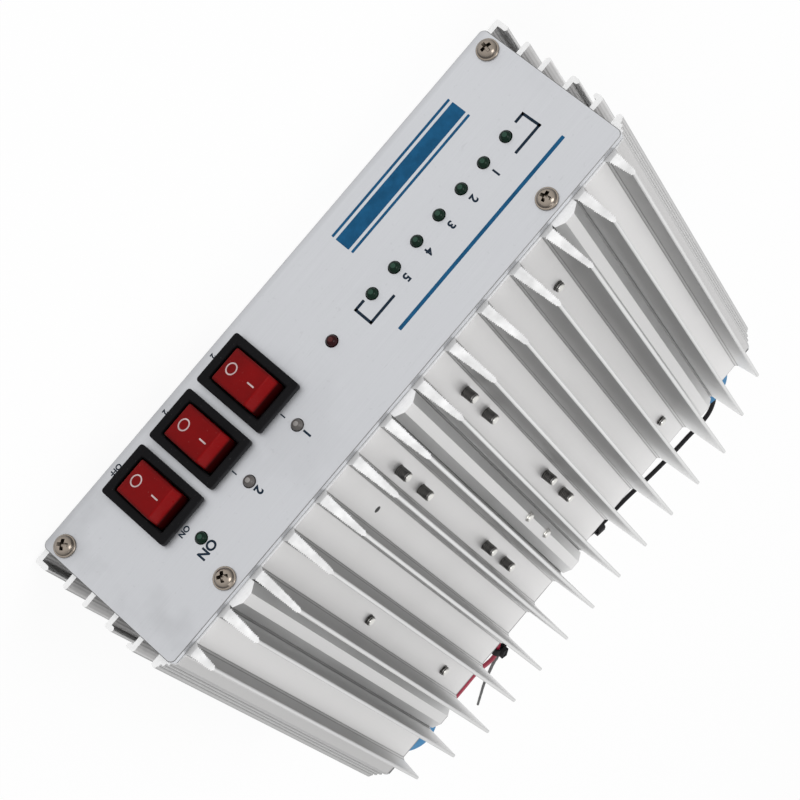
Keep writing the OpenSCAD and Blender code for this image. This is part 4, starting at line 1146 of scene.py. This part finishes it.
class AMPLIFIER_OT_sawn_ends(bpy.types.Operator):
    """Model the ragged burr that the saw left round the front ends of the fins"""
    bl_idname = "amplifier.sawn_ends"
    bl_label = "Sawn fin ends"

    def execute(self, context):
        low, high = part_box("housing")
        burrs = []
        for index in range(FIN_COUNT):
            side = min(index, FIN_COUNT - 1 - index)
            burr = self.burr_piece((high.z - DECK_Z) / MM - FIN_DROPS.get(side, 0), index * 7)
            x = (index - (FIN_COUNT - 1) / 2) * FIN_PITCH * MM
            burrs.append(set_down(burr, Matrix.Translation((x, low.y, DECK_Z))))
        settle(join(burrs), "sawn_fin_ends", "sawn_edge", angle=0.5)
        return {"FINISHED"}

    def burr_piece(self, tall, seed):
        """A thin skin in the outline of a fin's end, with teeth along its flanks."""
        teeth = int((tall - FOOT_HIGH) / BURR_STEP)
        flanks = {-1: [], 1: []}
        for k in range(teeth + 1):
            share = k / teeth
            half = FIN_HALF + (FIN_TIP_HALF - FIN_HALF) * share
            z = FOOT_HIGH + (tall - 0.25 - FOOT_HIGH) * share
            for side, flank in flanks.items():
                chance = math.sin((seed + 17 * k + 5 * side) * 12.9898) * 43758.5453
                out = BURR_LEAST + (chance - math.floor(chance)) * (BURR_MOST - BURR_LEAST)
                flank.append((side * (half + (out if k % 2 and k < teeth else 0)), z))
        tip = [(FIN_TIP_HALF - 0.25, tall), (0.25 - FIN_TIP_HALF, tall)]
        outline = flanks[1] + tip + flanks[-1][::-1]
        burr = ring_piece(1, sides=len(outline), filled=True)
        for vertex, (x, z) in zip(burr.data.vertices, outline):
            vertex.co = (x * MM, 0, z * MM)
        shape(burr)
        draw_out((0, -BURR_THICK * MM, 0))
        begin()
        return burr


class AMPLIFIER_OT_deck_screws(bpy.types.Operator):
    """Model the screws whose threaded tips stand out of the deck, and the flush dark disc beside them,
    painted as a hole's shade
    """
    bl_idname = "amplifier.deck_screws"
    bl_label = "Deck screws"

    def execute(self, context):
        for name in ("device_screws", "board_screws"):
            screws = []
            for x, y, low, high in clusters(name):
                raised = name == "device_screws" and high < DECK_Z + LOW_TIP * MM
                tall = (high - low) / MM + (TIP_RAISE if raised else 0)
                screw = self.screw_piece(tall, (DECK_Z - low) / MM, raised)
                turn = Matrix.Rotation(x * 900 + y * 400, 4, "Z")
                screws.append(set_down(screw, Matrix.Translation((x, y, low)) @ turn))
            settle(join(screws), name + "_threaded", "dark_steel plated",
                   nodes=[name], angle=20)
        # A flush dark disc painted as a hole's shade
        dark_disc = turned([(0.98, -0.02), (0.96, 0.03), (0.9, 0.05), (0.3, 0.05)], 28)
        set_down(dark_disc, Matrix.Translation((DECK_DARK_DISC[0] * MM, FACE_Y + DECK_DARK_DISC[1] * MM, DECK_Z)))
        settle(dark_disc, "deck_plug", "hole")
        return {"FINISHED"}

    def screw_piece(self, tall, deck, bright):
        """A pan head, a plain shank and the thread rings at its upper end."""
        profile = [(2.3, 0.0), (2.6, 0.3), (2.6, 1.8), (1.4, 1.8), (1.4, deck - 1.2)]
        rings = int((tall - deck + 0.9) / 0.5)
        for k in range(rings):
            z = tall - 0.2 - 0.5 * (rings - k)
            profile += [(1.45, z), (1.45, z + 0.08), (1.18, z + 0.27), (1.18, z + 0.33)]
        profile += [(1.3, tall - 0.2), (1.08, tall - 0.02), (0.5, tall)]
        screw = turned(profile, 28)
        for finish in ("dark_steel", "plated"):
            screw.data.materials.append(finish_for(finish))
        for face in screw.data.polygons:
            face.material_index = int(bright or face.center.z > (tall - 0.22) * MM)
        return screw


class AMPLIFIER_OT_sockets(bpy.types.Operator):
    """Model the threaded shells of the two sockets and the pull-off dust caps"""
    bl_idname = "amplifier.sockets"
    bl_label = "Sockets and dust caps"

    def execute(self, context):
        profile = [(6.06, -8), (7.2, -8), (7.4, -7.7), (7.4, 0), (9.1, 0), (9.4, 0.3), (9.4, 1.7), (9.1, 2),
                   (7.5, 2), (7.5, 2.6)]
        for k in range(THREAD_TURNS):
            z = THREAD_FROM + THREAD_PITCH * k
            profile += [(7.95, z), (7.95, z + 0.2), (7.45, z + 0.63)]
        profile += [(7.45, 21.4), (7.2, 22), (6.5, 22), (6.06, 21.6), (6.06, -8)]
        shell = turned(profile, 56, hollow=True)
        profile = [(6.6, 25.5), (7.3, 25.55), (7.8, 26), (9.0, 26), (9.8, 25.8), (10.35, 25.3), (10.55, 24.6)]
        for k in range(GRIP_RINGS):
            z = GRIP_TOP - GRIP_PITCH * k
            profile += [(10.55, z), (10.3, z - 0.25), (10.3, z - 0.75), (10.55, z - 1.0)]
        profile += [(10.55, 3.1), (10.4, 2.5), (10.1, 2.3), (8.7, 2.3), (8.25, 2.7), (8.25, 22.9), (8.1, 23)]
        cap = turned(profile, 72)
        for side in ("input", "output"):
            spot = in_line(side + "_socket", BACK_Y, TO_BACK)
            settle(copy_to(shell, spot), side + "_socket_shell", "plated",
                   nodes=[side + "_socket"], angle=25)
            settle(copy_to(cap, spot), side + "_dust_cap", "dust_cap",
                   side + "_cap", [side + "_cap"], 30)
        remove(shell, cap)
        return {"FINISHED"}


class AMPLIFIER_OT_grommet(bpy.types.Operator):
    """Model the rubber grommet that the leads come out of"""
    bl_idname = "amplifier.grommet"
    bl_label = "Lead grommet"

    def execute(self, context):
        grommet = turned([
            (4.2, -4), (5.5, -4), (6, -3.5), (6, -2.5), (5.6, -2), (4.5, -2), (4.5, 0), (5.8, 0), (6, 0.3),
            (6, 1.1), (5.75, 1.65), (5.3, 1.95), (4.7, 2.0), (4.2, 1.9), (3.9, 1.75), (3.6, 1.9), (3.3, 2.0),
            (0.4, 2.0)])
        set_down(grommet, in_line("lead_grommet", BACK_Y, TO_BACK))
        settle(grommet, "lead_grommet_ring", "grommet", nodes=["lead_grommet"])
        return {"FINISHED"}


class AMPLIFIER_OT_prints(bpy.types.Operator):
    """Print the numbers, switch words, brackets and plain stripes on the front panel"""
    bl_idname = "amplifier.prints"
    bl_label = "Panel prints"

    def execute(self, context):
        depth = context.scene.amplifier_sizes.ink_depth / MM
        words = []
        for text, x, z, high in PANEL_WORDS:
            begin()
            bpy.ops.object.text_add()
            word = context.object
            word.data.body = text
            word.data.align_x = "CENTER"
            word.data.size = high * TYPE_SIZE * MM
            word.data.extrude = depth / 2 * MM
            word.data.offset = TYPE_WEIGHT * high * MM
            spot = Matrix.Translation((x * MM, FACE_Y - depth / 2 * MM, z * MM)) @ TO_FRONT
            words.append(set_down(as_mesh(word), spot))
        for x_top, z_top, x_low, z_low, x_end, z_end in LEVEL_MARKS:
            words.append(self.stroke((x_top, z_top), (x_low, z_low), MARK_WIDE, depth))
            words.append(self.stroke((x_low, z_low), (x_end, z_end), MARK_WIDE, depth))
        for x_from, x_to, z in LEVEL_TOPS:
            words.append(self.stroke((x_from, z), (x_to, z), MARK_WIDE, depth))
        settle(join(words), "panel_numbers", "dark_ink")
        stripes = [self.stroke((a, (low + high) / 2), (b, (low + high) / 2), high - low, depth)
                   for a, b, low, high in PANEL_STRIPES]
        settle(join(stripes), "panel_stripes", "blue_ink")
        return {"FINISHED"}

    def stroke(self, start, end, width, depth):
        """A flat inked bar from one place to another with softened corners."""
        run = Vector(end) - Vector(start)
        bar = box_piece((run.length + min(width, MARK_WIDE), depth, width))
        shape(bar)
        pick_along(1, depth / 2 * MM)
        bpy.ops.mesh.bevel(offset=0.12 * MM, segments=2)
        middle = (Vector(start) + Vector(end)) / 2
        spot = Matrix.Translation((middle.x * MM, FACE_Y - depth / 2 * MM, middle.y * MM))
        return set_down(bar, spot @ Matrix.Rotation(-math.atan2(run.y, run.x), 4, "Y"))


class AMPLIFIER_OT_finishes(bpy.types.Operator):
    """Give the case, the panels and the parts inside their finishes"""
    bl_idname = "amplifier.finishes"
    bl_label = "Finishes"

    def execute(self, context):
        for name, part in frame["nodes"].items():
            finish = finish_for(SLOTS[name])
            if not part.material_slots:
                part.data.materials.append(finish)
            for slot in part.material_slots:
                slot.material = finish
        return {"FINISHED"}


class AMPLIFIER_PT_pieces(bpy.types.Panel):
    """Lists the amplifier's pieces, sizes and colours"""
    bl_idname = "AMPLIFIER_PT_pieces"
    bl_label = "Radio power amplifier"
    bl_space_type = "VIEW_3D"
    bl_region_type = "UI"
    bl_category = "Amplifier"

    def draw(self, context):
        for operator in OPERATORS:
            self.layout.operator(operator.bl_idname)
        for settings in (context.scene.amplifier_sizes, context.scene.amplifier_colours):
            column = self.layout.column()
            for key in settings.bl_rna.properties.keys():
                if key not in {"rna_type", "name"}:
                    column.prop(settings, key)


OPERATORS = (
    AMPLIFIER_OT_stage, AMPLIFIER_OT_leads, AMPLIFIER_OT_switches, AMPLIFIER_OT_lamps,
    AMPLIFIER_OT_panel_screws, AMPLIFIER_OT_panels, AMPLIFIER_OT_sawn_ends, AMPLIFIER_OT_deck_screws,
    AMPLIFIER_OT_sockets, AMPLIFIER_OT_grommet, AMPLIFIER_OT_prints, AMPLIFIER_OT_finishes)
CLASSES = (AmplifierSizes, AmplifierColours) + OPERATORS + (AMPLIFIER_PT_pieces,)


def register():
    for item in CLASSES:
        bpy.utils.register_class(item)
    bpy.types.Scene.amplifier_sizes = bpy.props.PointerProperty(type=AmplifierSizes)
    bpy.types.Scene.amplifier_colours = bpy.props.PointerProperty(type=AmplifierColours)


def unregister():
    del bpy.types.Scene.amplifier_colours
    del bpy.types.Scene.amplifier_sizes
    for item in reversed(CLASSES):
        bpy.utils.unregister_class(item)


def main():
    register()
    bpy.ops.amplifier.stage()
    bpy.ops.amplifier.leads()
    bpy.ops.amplifier.switches()
    bpy.ops.amplifier.lamps()
    bpy.ops.amplifier.panel_screws()
    bpy.ops.amplifier.panels()
    bpy.ops.amplifier.sawn_ends()
    bpy.ops.amplifier.deck_screws()
    bpy.ops.amplifier.sockets()
    bpy.ops.amplifier.grommet()
    bpy.ops.amplifier.prints()
    bpy.ops.amplifier.finishes()


if __name__ == "__main__":
    main()
